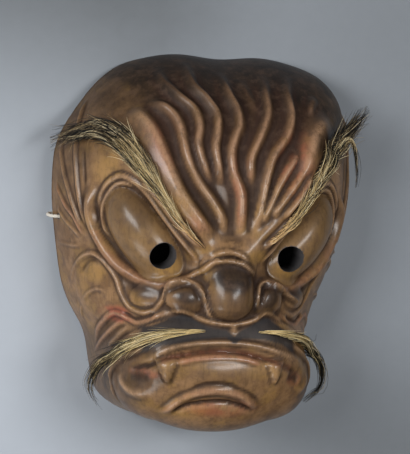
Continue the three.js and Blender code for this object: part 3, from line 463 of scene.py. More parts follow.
# What both halves have, drawn on the left one. "mirror" is the share of the height on the other half.
pairedLines = dict(
    lowerLid=stroke(3, 3.4, (-70, 33.5), (-72.3, 24), (-71.2, 14), (-67, 4.5), (-58, -7.5), (-51, -13.3),
        (-43, -17.5), (-33, -18.3), (-25, -15.3), (-18, -10.5), edge=2.6),
    lidGap=stroke(1.5, -1.6, (-69, 25.5), (-68.5, 16), (-64.5, 5.5), (-57, -3.5), ends=0.3),
    innerRing=stroke(1.2, 2, (-52, 34.5), (-57.5, 36), (-62, 34), (-65.5, 28), (-67, 20), (-66, 11.5),
        (-62.5, 4)),
    outerRing=stroke(1.3, 2.2, (-68.3, 16), (-68.3, 26), (-65.5, 34.5), (-59.5, 39.5), (-53, 37.5),
        (-46, 31.5), (-39.5, 22.5), (-31, 12), (-22.5, 2.8), (-18.5, -3), (-20, -8)),
    lidFold=stroke(1.5, 1.7, (-49, 38), (-40.5, 29.5), (-29.5, 16), (-16.5, 4)),
    hairBed=stroke(1.4, -1.2, (-44, 37.5), (-33.5, 25.5), (-14.5, 5.5)),
    cheekLoop=stroke(1.2, 2.3, (-72.8, -31), (-74.2, -20.6), (-72.9, -12.3), (-69.8, -6.8), (-66.6, -5.5),
        (-62.6, -8), (-58.1, -13.3), (-55.1, -18.5), (-53.3, -24.2), (-51, -29.2), (-47.8, -32.9),
        (-42, -34.6), (-37, -32.2), (-34.3, -28.5), ends=0.1, rise=0.45, mirror=0.6),
    cheekHollow=stroke(2.2, -1.1, (-71, -20), (-69.3, -12.5), (-66.5, -9.6), (-62.8, -12),
        ends=0.3, mirror=0.3),
    underLoop=stroke(1.5, -1.6, (-51.5, -35.5), (-46, -39), (-41.5, -38), (-37, -34)),
    cheekArc=stroke(0.9, 1, (-68, -35.5), (-67, -30.4), (-65.3, -27.2), (-62.8, -25.4), (-60.2, -26),
        (-58.2, -29), ends=0.3),
    cheekLine=stroke(0.8, 0.8, (-68, -36), (-67.4, -41), (-64.8, -47), ends=0.3),
    foldOne=stroke(1.2, 1.7, (-57.1, -61.4), (-59.3, -50), (-58.4, -41.8), (-56.3, -37.6), (-54, -36.6),
        (-49.3, -38.3), (-45.3, -40), (-41.1, -38.4), (-36.5, -35.8), (-31, -32.6),
        ends=0.1, rise=0.35, mirror=0.5),
    foldTwo=stroke(1, 1.2, (-56.3, -67.3), (-56.7, -57.7), (-55.9, -49.7), (-54.1, -44.6), (-52, -41.5),
        (-49, -40.3), rise=0.4, mirror=0.3),
    templeOne=stroke(1.3, 1.7, (-69.3, 77.4), (-75.3, 65.8), (-78.4, 54), (-78.7, 40), (-77.6, 29.5),
        (-75.4, 18.5), (-72.1, 7.8)),
    templeCut=stroke(1.7, -1, (-75, 55), (-75.5, 40), (-74.4, 27), ends=0.3),
    templeTwo=stroke(1.4, 1.7, (-82.9, 53), (-83.8, 46), (-82.8, 35.5), (-80.8, 26.7), (-78.2, 18),
        (-72.8, 6)),
    templeThree=stroke(1.2, 1.5, (-85, 29), (-83.2, 22.6), (-80.8, 17), (-77.6, 12.5), (-72.9, 3.5)),
    templeFour=stroke(1, 1.1, (-83.6, 16.5), (-82.7, 13.4), (-80.1, 8.8), (-76.7, 5), (-73.2, 1)),
    templeFive=stroke(1, 0.9, (-81, -4.8), (-75.7, -3.8), (-72.2, -2.1), ends=0.3),
    foldThree=stroke(1.1, 0.9, (-53.6, -58), (-53.4, -55), (-52.3, -51.1), (-50.5, -46.6), (-47.5, -42.9),
        mirror=0.3),
)
# What is on one side or across the middle
singleLines = dict(
    browArch=stroke(1.1, 1.4, (-12.5, -1.5), (-9.5, 1.6), (-5, 2.6), (0, 2.6), (5, 0.9), (9, -4)),
    noseSlit=stroke(0.9, -2, (-7.9, -1.4), (-4.6, 0.2), (-1, 0.5), (2.6, -0.4), (5.2, -2.4)),
    noseArch=stroke(1.3, 2.1, (-20.3, -12.2), (-13.8, -7.8), (-9.6, -4.2), (-4.5, -2.2), (0, -2), (4, -3),
        (8.4, -6), (14.1, -11.4)),
    lidToNose=stroke(1.2, 1.6, (-35.4, -15.6), (-27.6, -15.8), (-21.5, -13), (-16.5, -9.4)),
    wingRimLeft=stroke(1.3, 2.6, (-38.5, -33.5), (-34.4, -27.1), (-32.5, -21.8), (-29.3, -18), (-25.5, -16.2),
        (-21.1, -15.4), (-17.4, -17.4), (-15.1, -21.6), (-13.2, -26.6), (-10.4, -33.3), (-6.8, -36.2),
        ends=0.1),
    wingRimRight=stroke(1.3, 2.4, (15.2, -28), (15.4, -20.5), (16.5, -16.2), (19.8, -14.5), (23, -15.7),
        (26.2, -17.6), (31.8, -21.2), (38.4, -25.2), (42.4, -28.6), ends=0.1),
    wingGapLeft=stroke(1, -1.5, (-30.8, -23.5), (-28.6, -20.3), (-25, -18.3), (-21, -17.8), (-18.4, -20.2),
        (-16.6, -25), ends=0.2),
    wingGapRight=stroke(1.3, -2.2, (17, -26), (17.2, -20.4), (18.6, -17.4), (21.4, -17), (24, -18.6),
        ends=0.25),
    noseBase=stroke(1.2, 1.8, (-34.4, -36), (-31.2, -33.3), (-25.6, -31.2), (-20.7, -32.7), (-15.8, -35.5),
        (-12.1, -36.9), (-6.8, -38), (-0.8, -38.5), (6.8, -38), (13.1, -36.3), (17.5, -33.7), (20.5, -31.6),
        (24, -32.6), (29, -36), (33, -38.5)),
    ringLeft=stroke(1.3, 2.2, (-33, -49.8), (-42, -54), (-48, -60.5), (-50, -69), (-49.5, -80), (-44, -91)),
    ringRight=stroke(1.3, 1.8, (29.5, -48), (38.5, -53.5), (46, -61.5), (45.5, -74)),
    lipEdge=stroke(1.2, 1.5, (-40, -61), (-37, -57.5), (-32.1, -53.2), (-25.5, -50.3), (-13.5, -49),
        (0.9, -48.8), (14.4, -49.9), (24.9, -52.2), (35.3, -57.4), (41.9, -63.4)),
    mouth=stroke(1.4, -3.2, (-45.5, -64.5), (-41, -63.3), (-36.5, -60.6), (-32, -57.4), (-27.5, -55.6),
        (-18.4, -54), (-4.8, -53.1), (7.6, -53.8), (19.6, -56.5), (31.9, -60.8), (41, -65.2)),
    lowEdge=stroke(1.3, 1.3, (-29, -59), (-18.5, -56.8), (-5, -55.9), (7.5, -56.5), (20, -59.5)),
    cornerLeft=stroke(4.4, -1.7, (-44, -67), (-40.5, -67.8), (-36, -66.8), ends=0.3),
    cornerRim=stroke(2.3, 1.5, (-45.8, -67), (-46, -71.5), (-42.5, -75), (-36.5, -74), ends=0.3),
    cornerRight=stroke(4.2, -1.9, (33, -63.5), (36.5, -66), (40, -68), ends=0.3),
    cornerRimRight=stroke(2.2, 1.2, (42.5, -65.5), (43, -70), (38.5, -73), ends=0.3),
    chinTop=stroke(1.3, -1.4, (-21, -70.3), (-15, -68), (-7, -67.3), (1, -67.8), (8, -70), ends=0.3),
    chinRoll=stroke(2.2, 2.3, (-31, -83), (-28.4, -80.2), (-22.6, -74.6), (-14.1, -71.3), (-4, -70.4),
        (7, -72.2), (14, -76), (19, -80)),
    chinCrease=stroke(1.4, -2.4, (-26.6, -81.7), (-18.8, -78), (-9, -76.4), (0.8, -76.2), (11.2, -78.4),
        (18.5, -81)),
    philtrum=stroke(3, 1.1, (2.4, -38.5), (3.1, -41), (3.4, -43.4), narrow=0.7, ends=0.3),
)
fangs = [dict(x=-31.8, y=-58.3, turn=-82, long=11.5, half=6.4, high=3.4),
         dict(x=26.0, y=-58.8, turn=-91, long=11.0, half=5.4, high=3.4)]
fangForm = dict(taper=0.75, power=2.4, root=1.5, under=1)


def carvedLines():
    out = [dict(line, name="forehead") for line in foreheadRidges]
    out += [dict(line, name=name) for rows in (pairedLines, singleLines) for name, line in rows.items()]
    for name, line in pairedLines.items():
        at = [(2 * float(lean(y)) - float(cheekBend(y)) - x, y) for x, y in line["at"]]
        out.append(dict(line, name=name, at=at, flip=-1, high=line["high"] * line["mirror"]))
    return out


def fangShape(places, fang):  # 1 along the middle of a fang, 0 at its sides
    u, v = local(places, fang["x"], fang["y"], fang["turn"])
    root, under = fangForm["root"], fangForm["under"]
    half = fang["half"] * np.clip(1 - (u + under) / (fang["long"] + under), 0, 1) ** fangForm["taper"]
    q = np.abs(v) / np.maximum(0.05, half)
    inside = (u > -root) & (u < fang["long"]) & (q < 1)
    return np.where(inside, np.sqrt(np.maximum(0, 1 - q ** fangForm["power"])), 0) * smoothStep(u + root)


def gridNormals(grid):
    return unit(np.cross(np.gradient(grid, axis=1), np.gradient(grid, axis=0)))


def spread(grid, reach):  # each point's average over a square of neighbours
    span = 2 * reach + 1
    for axis in (0, 1):
        margins = [(reach + 1, reach) if i == axis else (0, 0) for i in range(grid.ndim)]
        total = np.cumsum(np.pad(grid, margins, mode="edge"), axis)
        n = grid.shape[axis]
        grid = (total.take(range(span, span + n), axis) - total.take(range(n), axis)) / span
    return grid


# Where a line is painted, in widths from its middle: pale on the crest, as rubbed wear with painted highlight,
# and dark at the foot and in a cut, as painted shade with grime.
# It ends at "reach", and ridges that cross merge by the power "merge".
lineTrace = dict(boldFrom=1.6, crestWearAndSheen=0.5, foot=1.8, footWide=0.5, cutWide=0.8, reach=3, merge=4)


def carve(grid):  # the carved surface over a domed grid, and where its lines and eyeballs lie
    places = grid.reshape(-1, 3)
    h, domeNormals, eyeGap = relief(places)
    formed = places + domeNormals * h[:, None]
    normals = unit(domeNormals + gridNormals(formed.reshape(grid.shape)).reshape(-1, 3))
    cut = np.zeros(len(formed))
    ridges = np.zeros(len(formed))
    fields = dict(eyeGap=eyeGap, crestWearAndSheen=np.zeros(len(formed)), foot=np.zeros(len(formed)))
    trace = lineTrace
    for line in carvedLines():
        path = catmullRom(surfaceAt(line["at"]), 6)
        reach = trace["reach"] * max(line["wide"], line["far"])
        near = np.all((formed > path.min(0) - reach) & (formed < path.max(0) + reach), axis=1)
        d, t, side = lineField(formed[near], normals[near], path)
        width = np.where(side * line["flip"] > 0, line["wide"], line["far"]) * (1 - line["narrow"] * t)
        fade = smoothStep(t / line.get("rise", line["ends"])) * ramp(t, 1, -line["ends"])
        shape = np.zeros(len(formed))
        shape[near] = np.exp(-(d / width) ** line["edge"]) * fade
        bold = fade * min(1, abs(line["high"]) / trace["boldFrom"])
        if line["high"] > 0:
            # pale crest: rubbed wear with painted highlight
            crestWearAndSheen = hump(d / width, 0, trace["crestWearAndSheen"]) * bold
            fields["crestWearAndSheen"][near] = np.maximum(fields["crestWearAndSheen"][near], crestWearAndSheen)
            # dark foot: painted shade with grime
            foot = hump(d / width, trace["foot"], trace["footWide"]) * bold
        else:
            foot = hump(d / width, 0, trace["cutWide"]) * bold
        fields["foot"][near] = np.maximum(fields["foot"][near], foot)
        fields[line["name"]] = np.maximum(fields.get(line["name"], 0), shape)
        if line["name"] == "forehead":
            ridges += (line["high"] * shape) ** trace["merge"]
        else:
            cut += line["high"] * shape
    fields["forehead"] = ridges ** (1 / trace["merge"])
    cut += fields["forehead"]
    fields["fang"] = np.zeros(len(formed))
    for fang in fangs:
        shape = fangShape(formed, fang)
        cut = cut * (1 - np.minimum(1, shape * 3)) + fang["high"] * shape
        fields["fang"] = np.maximum(fields["fang"], shape)
    cut = (cut + spread(cut.reshape(grid.shape[:2]), 1).reshape(-1)) / 2
    cut = cut * ramp(formed[:, 2], dome["plainRim"], dome["rimFade"])
    carved = formed + normals * cut[:, None]
    return carved.reshape(grid.shape), fields


def rimHeight(angle):  # the rim rises over the temples
    return dome["rimArch"] * ramp(np.abs(np.cos(angle)), *dome["archRamp"])


gridSpread = dict(samples=600, power=3, halfWidth=90)  # how the grid's rings close up toward the steep rim


def discGrid(count):  # square grid pulled into a disc: bearing and share of the rim radius
    across, up = np.meshgrid(np.linspace(-1, 1, count), np.linspace(-1, 1, count))
    a = across * np.sqrt(1 - up * up / 2)
    b = up * np.sqrt(1 - across * across / 2)
    share = 1 - np.linspace(1, 0, gridSpread["samples"]) ** gridSpread["power"]
    height = dome["crown"] * np.sqrt(1 - share ** gridSpread["power"])
    run = runAlong(np.stack([share * gridSpread["halfWidth"], height], -1))
    return np.arctan2(b, a), np.interp(np.hypot(a, b), run / run[-1], share)


def domeGrid(count, inset=0.0, drop=0.0):
    angle, share = discGrid(count)
    r = share * (rimRadius(angle) - inset)
    y = r * np.sin(angle)
    x = r * np.cos(angle) + lean(y)
    z = (crownAt(y) - drop) * np.sqrt(np.maximum(0, 1 - share ** profilePower(angle)))
    return np.stack([x, y, np.maximum(z, rimHeight(angle))], -1)


def borderLoop(count):  # the grid's border, counter-clockwise from its lower left corner
    i = np.arange(count - 1)
    last = count - 1
    return np.concatenate([i, i * count + last, last * count + last - i, (last - i) * count])


def gridFaces(count, offset, outward):
    i = np.arange(count * count).reshape(count, count) + offset
    faces = np.stack([i[:-1, :-1], i[:-1, 1:], i[1:, 1:], i[1:, :-1]], -1).reshape(-1, 4)
    return (faces if outward else faces[:, ::-1]).tolist()


def bandFaces(outer, inner):  # band between two loops, stepping along whichever is behind
    faces, i, j = [], 0, 0
    n, m = len(outer), len(inner)
    while i < n or j < m:
        a, b = outer[i % n], inner[j % m]
        if i < n and (j >= m or (i + 1) * m <= (j + 1) * n):
            i += 1
            faces.append((a, b, outer[i % n]))
        else:
            j += 1
            faces.append((a, b, inner[j % m]))
    return faces


maskMesh = dict(outer=300, inner=72, edgeRound=0.8, sharpAngle=62, samePlace=0.002,
                eyeHole=dict(x=36.6, shift=-0.7, y=-1.5, z=70, radius=7.4, long=60, axis="z", sides=72),
                cordHole=dict(x=83.0, y=10.0, z=14.5, radius=1.7, long=34, axis="x", sides=20))


def hollows(grid, reach):  # how far each point lies under its surroundings, in mm
    return np.einsum("ijk,ijk->ij", spread(grid, reach) - grid, gridNormals(grid)).reshape(-1)


# The dark band over the upper lip
bandTop = [(-49, -42), (-45.3, -41.2), (-41.1, -39.8), (-36.5, -37.2), (-31, -34.5), (-25.6, -32.5),
           (-20.7, -34), (-15.8, -36.8), (-12.1, -38.2), (-6.8, -39.3), (-1, -39.9), (3.3, -43.4), (7.5, -39.9),
           (13.1, -37.7), (17.5, -35.1), (20.5, -33), (24, -34), (29, -37.2), (34, -40.2), (42, -46)]
bandFoot = [(-47, -56), (-42, -53), (-36.6, -50), (-19.4, -46.3), (-8, -44.6), (-1.7, -44.4), (2.8, -47.6),
            (8, -44.8), (21.2, -45.4), (32.1, -48.9), (40, -54)]


def between(x, y, upper, lower, soft):  # 1 between two curves given by points, 0 outside
    top = np.interp(x, *np.array(upper).T)
    foot = np.interp(x, *np.array(lower).T)
    sides = smoothStep((x - upper[0][0]) / 4) * smoothStep((upper[-1][0] - x) / 4)
    return smoothStep((top - y) / soft + 0.5) * smoothStep((y - foot) / soft + 0.5) * sides


def around(x, y, at, reach):  # 1 in the middle of an oval patch, 0 at its edge
    return smoothStep(1.5 - 1.2 * np.hypot((x - at[0]) / reach[0], (y - at[1]) / reach[1]))


# Patches of each tint: strength, centre and half sizes. The "Lines" rows give lines of the carving a tint.
redPatches = [(1.1, (-56.5, -37.5), (7, 5)), (0.6, (-44, -66), (7, 3)), (0.6, (41, -68), (6, 4)),
              (0.5, (-3, -84), (22, 6)), (0.6, (36, 50), (12, 20))]
redOnRidges = [(0.6, (-18, 18), (9, 9)), (0.75, (3, 34), (8, 26)), (0.45, (-40, 58), (10, 18))]
redOnLines = dict(foldOne=0.5, lowEdge=0.9, chinRoll=0.45, foldTwo=0.3)
# Painted shade: patches darkened where shade falls, mostly on the nose, its wings and the pouches; the rows for
# the eyes darken the upper eyeballs under the lids
shadePatches = [(0.9, (1, -9), (15, 10)), (0.6, (0.5, -24), (17, 20)), (0.9, (54, 67), (10, 15)),
                (0.75, (-24, -20), (10, 6)), (0.6, (-23, -27), (11, 8)), (1.2, (21, -19), (9, 8)),
                (0.75, (21, -26), (8, 8)), (0.75, (-44, -22), (9, 5)), (0.75, (43, -22), (9, 5)),
                (0.5, (-42, -70), (9, 6)), (0.35, (-4, -64), (26, 7))]
lidShadeOnEyes = [(0.5, (-53, 22), (14, 12)), (0.25, (55, 24), (12, 12))]
ochrePatches = [(1, (-66, 42), (7, 10)), (1, (-68, -16), (6, 7)), (1, (-34, -8), (9, 7)), (1, (34, -8), (8, 6)),
                (1, (-22, -84), (14, 8)), (1, (-14, -9), (5, 4)), (1, (14, 0), (7, 5)),
                (0.8, (20, -62), (12, 5))]
# Pale along lines: painted highlight on the raised lip edge, the mouth-corner rim and the left muzzle ring,
# pale colour on the fangs
paleAndHighlightOnLines = dict(lipEdge=0.5, fang=0.2, cornerRim=0.6, ringLeft=0.5)


# Where the parts of the face set in and over how many mm. "edge" is a share of the rim's oval.
regions = dict(eyeball=(0.4, -0.8), eyeCreaseShade=(0.9, 0.8), foreheadRidge=(0, 5), browSide=(62, -24),
               rimOval=(86, 101), edge=(0.86, 0.2), edgeUp=(-10, 60), farCheek=(46, 40), cheek=(-46, -8),
               cheekDown=(22, -20), jaw=(-46, -14), jawSide=(40, 12), noseSide=(14.5, 1.5))


def paintMasks(grid, fields):  # where each layer of the paint lies, from 0 to 1
    x, y = grid.reshape(-1, 3).T[:2]
    side = x - lean(y)

    def patches(rows):
        return sum(strength * around(x, y, at, reach) for strength, at, reach in rows)

    def onLines(rows):
        return sum(strength * fields[name] for name, strength in rows.items())

    # what the relief gives
    fine, broad = hollows(grid, 2), hollows(grid, 7)
    cavity = 0.85 * smoothStep(fine * 3.2) + 0.6 * smoothStep(broad * 0.6)
    worn = smoothStep(-0.1 - fine * 2.6)
    forehead = ramp(fields["forehead"], *regions["foreheadRidge"])
    eyeball = ramp(fields["eyeGap"], *regions["eyeball"])
    # the dark crease round the eyeballs, painted shade
    eyeCreaseShade = hump(fields["eyeGap"], *regions["eyeCreaseShade"])
    mouth = np.clip(fields["mouth"], 0, 1) * (np.abs(x) < 38)
    lowerLid = np.clip(fields["lowerLid"], 0, 1)
    clear = 1 - 0.8 * eyeball
    crestWearAndSheen = fields["crestWearAndSheen"] * (1 - eyeball) * (1 - 0.85 * lowerLid)

    # regions of the face
    brow = smoothStep((y - 22) / 36 - 0.2 * np.abs(side + 4) / 30 + 0.1)
    brow = brow * ramp(np.abs(side), *regions["browSide"])
    top = smoothStep((y - 56 - 0.1 * np.abs(side)) / 34)
    wide, high = regions["rimOval"]
    edge = ramp(np.hypot(side / wide, y / high), *regions["edge"]) * ramp(y, *regions["edgeUp"])
    # crown: dark umber glaze toward the top and the rim, partly painted shade falling off toward the top
    crown = np.clip(top * (1 - 0.25 * forehead) + 0.6 * edge, 0, 1)
    crown = crown * (1 - 0.3 * around(x, y, (-58, 77), (15, 14)))
    farCheek = ramp(side, *regions["farCheek"]) * (y < 30)
    cheek = ramp(side, *regions["cheek"]) * ramp(y, *regions["cheekDown"])
    jaw = ramp(y, *regions["jaw"]) * ramp(np.abs(side), *regions["jawSide"])
    lip = between(x, y, bandFoot, [(x0, y0 - 4) for x0, y0 in bandFoot], 2)
    noseSide = hump(x, *regions["noseSide"]) * (y < -10) * (y > -34)

    red = (patches(redPatches) + patches(redOnRidges) * forehead + onLines(redOnLines) + 0.7 * mouth
           + 0.3 * fields["lowerLid"] * (y < 8) + 0.5 * fields["templeThree"] * (x < 0))
    # painted shade: the patches, the upper eyeballs, the shaded side of the nose, the jaw, the strip under the
    # lip band and the far cheek
    paintedShade = (patches(shadePatches) + patches(lidShadeOnEyes) * eyeball + 0.45 * noseSide + 0.6 * jaw + 0.6 * lip
             + 0.3 * farCheek)
    # painted shade with grime at the foot of each line, in each cut and in the crease round the eyeballs
    foot = fields["foot"] * (1 - crestWearAndSheen) * (1 - 0.9 * eyeball) * (1 - 0.55 * cheek)
    # pale: painted highlight on the lines above and on the lower lids, pale colour on the mouth line and
    # between the brows
    pale = (onLines(paleAndHighlightOnLines) + 0.12 * fields["lowerLid"] * (y > -14) + 0.9 * mouth
            + 0.5 * around(x, y, (-1, 25), (5, 8)))
    masks = dict(
        cavity=np.clip(cavity, 0, 1) * clear * (1 - 0.85 * mouth),
        worn=worn * clear * (1 - 0.6 * np.clip(paintedShade, 0, 1)),
        crestWearAndSheen=crestWearAndSheen,
        foot=np.maximum(foot, 0.8 * eyeCreaseShade),
        brow=brow * (1 - 0.5 * forehead) * clear,
        crown=crown,
        red=np.clip(red, 0, 1) * clear,
        band=between(x, y, bandTop, bandFoot, 1.6),
        ball=eyeball,
        paintedShade=np.clip(paintedShade, 0, 1) * (1 - 0.6 * crestWearAndSheen),
        ochre=patches(ochrePatches),
        pale=pale,
    )
    return {name: np.clip(values, 0, 1) for name, values in masks.items()}


def addMesh(name, vertices, faces, paint=None):
    mesh = bpy.data.meshes.new(name)
    mesh.from_pydata(toMetres(vertices).tolist(), [], faces)
    mesh.polygons.foreach_set("use_smooth", [True] * len(mesh.polygons))
    if paint:
        mesh.materials.append(paint.material)
    piece = bpy.data.objects.new(name, mesh)
    bpy.context.scene.collection.objects.link(piece)
    return piece


def post(hole, side):  # a round cutter
    angle = np.linspace(0, 2 * pi, hole["sides"], endpoint=False)
    ring = np.stack([np.cos(angle), np.sin(angle), np.zeros(len(angle))], -1) * hole["radius"]
    half = np.array([0, 0, hole["long"] / 2])
    centre = np.array([side * hole["x"] + hole.get("shift", 0), hole["y"], hole["z"]])
    axes = {"x": [2, 0, 1], "z": [0, 1, 2]}[hole["axis"]]
    points = np.concatenate([ring - half, ring + half])[:, axes] + centre
    sides = hole["sides"]
    i = np.arange(sides)
    faces = np.stack([i, (i + 1) % sides, (i + 1) % sides + sides, i + sides], -1).tolist()
    return points, faces + [list(range(sides))[::-1], list(range(sides, 2 * sides))]


def cutWith(piece, cutters):
    for number, cutter in enumerate(cutters):
        tool = addMesh(f"cutter{number}", *cutter)
        cut = piece.modifiers.new("cut", "BOOLEAN")
        cut.operation, cut.solver, cut.object = "DIFFERENCE", "MANIFOLD", tool
        bpy.context.view_layer.objects.active = piece
        bpy.ops.object.modifier_apply(modifier=cut.name)
        bpy.data.objects.remove(tool)


def buildMask(paint):
    count, innerCount = maskMesh["outer"], maskMesh["inner"]
    edgeRound = maskMesh["edgeRound"]
    carved, fields = carve(domeGrid(count))
    masks = paintMasks(carved, fields)
    loop = borderLoop(count)
    angle = discGrid(count)[0].reshape(-1)[loop]
    low = rimHeight(angle)
    outer = carved.reshape(-1, 3)
    edge = outer[loop].copy()
    outer[loop, 2] = low + edgeRound
    inner = domeGrid(innerCount, dome["wall"], dome["roof"]).reshape(-1, 3)
    innerLoop = borderLoop(innerCount)
    inner[innerLoop, 2] += edgeRound
    out = np.stack([np.cos(angle), np.sin(angle)], -1)
    insets = (edgeRound, dome["wall"] - edgeRound)
    rims = [np.column_stack([edge[:, :2] - out * inset, low]) for inset in insets]
    vertices = np.concatenate([outer, *rims, inner])
    starts = np.cumsum([len(outer), len(loop), len(loop)])
    ring = np.arange(len(loop))
    loops = [loop, starts[0] + ring, starts[1] + ring, starts[2] + innerLoop]
    faces = gridFaces(count, 0, True) + gridFaces(innerCount, starts[2], False)
    for first, second in zip(loops, loops[1:]):
        faces += bandFaces(first.tolist(), second.tolist())
    piece = addMesh("maskCarving", vertices, faces, paint)
    cutWith(piece, [post(maskMesh[hole], side) for side in (-1, 1) for hole in ("eyeHole", "cordHole")])

    # the cuts renumber the vertices, so each one looks up its paint by place
    mesh = piece.data
    tree = kdtree.KDTree(len(vertices))
    for i, place in enumerate(toMetres(vertices)):
        tree.insert(place, i)
    tree.balance()
    found = [tree.find(vertex.co)[1:] for vertex in mesh.vertices]
    nearest = np.array([i for i, _ in found])
    rest = len(vertices) - len(outer)
    masks = {name: np.concatenate([values, np.zeros(rest)])[nearest] for name, values in masks.items()}
    masks["bare"] = nearest >= len(outer)
    masks["hole"] = np.array([gap for _, gap in found]) > maskMesh["samePlace"] / 1000
    addMasks(mesh, masks)
    mesh.set_sharp_from_angle(angle=radians(maskMesh["sharpAngle"]))
    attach(piece, "root")
    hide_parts("mask_body")
    print("mask:", len(mesh.vertices), "points,", len(mesh.polygons), "faces")


agedTints = dict(
    tan=(0.265, 0.150, 0.070), deepTan=(0.150, 0.080, 0.034), rubbed=(0.31, 0.185, 0.10),
    brow=(0.072, 0.035, 0.019), umber=(0.014, 0.009, 0.006), valley=(0.026, 0.013, 0.008),
    browValley=(0.036, 0.017, 0.011), rust=(0.30, 0.085, 0.046), smoke=(0.085, 0.050, 0.032),
    # paintedShade is the tint of the painted shade
    band=(0.022, 0.020, 0.021), olive=(0.185, 0.108, 0.044), paintedShade=(0.020, 0.011, 0.007),
    pale=(0.30, 0.19, 0.115), ochre=(0.31, 0.175, 0.050), edge=(0.42, 0.26, 0.15),
    browEdge=(0.33, 0.17, 0.105), wall=(0.065, 0.061, 0.062), bareDark=(0.075, 0.045, 0.028),
    bareLight=(0.13, 0.08, 0.048), soot=(0, 0, 0))


def makeAgedPaint():  # from the ground coat up to the wear and the soot
    paint = Paint("agedPaint", **{"Specular IOR Level": 0.2, "Coat Roughness": 0.22})
    tints = agedTints
    cloud = paint.noise(perMm=0.03, detail=3)
    patch = paint.noise(perMm=0.11, detail=5, rough=0.6)
    streak = paint.noise(perMm=0.5, detail=4, rough=0.6, stretch=(1, 0.25, 1))
    grain = paint.noise(perMm=1.1, detail=4, rough=0.65)
    speck = paint.band(paint.noise(perMm=1.3, detail=3, rough=0.6), 0.62, 0.72)
    cavity, crown, bare, hole = (paint.mask(name) for name in ("cavity", "crown", "bare", "hole"))
    colour = paint.blend(paint.band(cloud * 0.5 + patch * 0.5, 0.40, 0.60), tints["tan"], tints["deepTan"])

    def layer(share, tint):
        nonlocal colour
        colour = paint.blend(share, colour, tints.get(tint, tint))

    layer(paint.band(paint.noise(perMm=0.06, detail=4), 0.50, 0.62) * 0.45, "ochre")
    layer(paint.mask("ball") * 0.8, "olive")
    layer(paint.mask("ochre") * (0.25 + patch * 0.8), "ochre")
    layer(paint.mask("brow") * (0.6 + patch * 0.6), "brow")
    # pale colour and painted highlight
    layer(paint.mask("pale") * 0.5, "pale")
    # umber glaze on the crown, partly painted shade
    layer(crown * (0.6 + patch * 0.55), "umber")
    # painted shade
    layer(paint.mask("paintedShade") * (0.7 + patch * 0.5), "paintedShade")
    layer(paint.mask("red") * paint.band(patch, 0.3, 0.55), "rust")
    layer(cavity * 0.85, "valley")
    layer(paint.mask("worn") * paint.band(patch, 0.3, 0.7) * (1 - crown) * 0.45, "rubbed")
    # painted shade with grime at the feet of the lines and in the cuts
    layer(paint.mask("foot") * (0.4 + grain * 0.6),
          paint.blend(paint.mask("brow"), tints["valley"], tints["browValley"]))
    # rubbed wear with painted highlight on the crests
    layer(paint.mask("crestWearAndSheen") * paint.band(patch * 0.6 + grain * 0.4, 0.34, 0.54) * (1 - crown * 0.8) * 0.7,
          paint.blend(paint.mask("brow"), tints["edge"], tints["browEdge"]))
    layer(paint.mask("band") * 0.95, "band")
    layer(paint.band(streak, 0.45, 0.7) * 0.4, paint.blend(0.6, colour, tints["soot"]))
    smoke = paint.band(paint.noise(perMm=0.17, detail=5, rough=0.7), 0.48, 0.66)
    layer(smoke * (1 - paint.mask("band")) * 0.45, "smoke")
    layer(speck * 0.4, "valley")
    wood = paint.noise(perMm=0.25, detail=4, rough=0.6, stretch=(1, 0.12, 1))
    layer(bare, paint.blend(wood, tints["bareDark"], tints["bareLight"]))
    layer(hole, "wall")
    matt = cavity + bare + hole + paint.mask("band") * 0.7
    paint.feed(Base_Color=colour, Roughness=0.44 + cavity * 0.15 + patch * 0.12 + bare * 0.2,
               Coat_Weight=paint.band(1 - matt, 0.0, 1.0) * 0.4 * (1 - crown * 0.85))
    paint.bump(grain * 0.35 + patch * 0.8 + streak * 0.5, 0.22, 0.7)
    return paint


buildMask(makeAgedPaint())


# Hair

def tuftSpine(tuft):  # the tuft's axis with its half width and half thickness, and its cross directions
    lying = np.array(tuft["lying"], float)
    ground = surfaceAt(lying[:, :2])
    normals = domeNormal(ground[:, 0], ground[:, 1], ground[:, 2])
    rows = np.column_stack([ground + normals * lying[:, 2:3], lying[:, 3:5], normals])
    free = np.array(tuft["free"], float)
    free = np.column_stack([free, np.repeat(normals[-1:], len(free), 0)])
    rows = catmullRom(np.concatenate([rows, free]), 10)
    at = rows[:, :3]
    tangent = unit(np.gradient(at, axis=0))
    across = unit(np.cross(tangent, rows[:, 5:8]))
    over = np.cross(across, tangent)
    return dict(at=at, wide=rows[:, 3], thick=rows[:, 4], across=across, over=over, run=runAlong(at))


# "wild" is the share of stray hairs and "beyond" the share of the tuft's length that a hair may reach.
# "apart" and "stack" spread the locks over its width and thickness, "swing", "leanOut" and "wave" bend
# them, and a hair starts "rootDepth" under the carving. hairChance is how much single hairs vary.
hair = dict(steps=11, sides=3, wild=0.07, wildReach=2.4, beyond=1.04, apart=1.9, stack=1.3, swing=1.3,
            leanOut=0.0, wave=0.5, rootDepth=0.8, rootSpan=7, taper=0.72, sideways=(0.31, 0.17, 0.93))
hairChance = dict(apart=0.1, stack=0.15, swing=0.5, wave=0.08, radius=(0.7, 1.25))


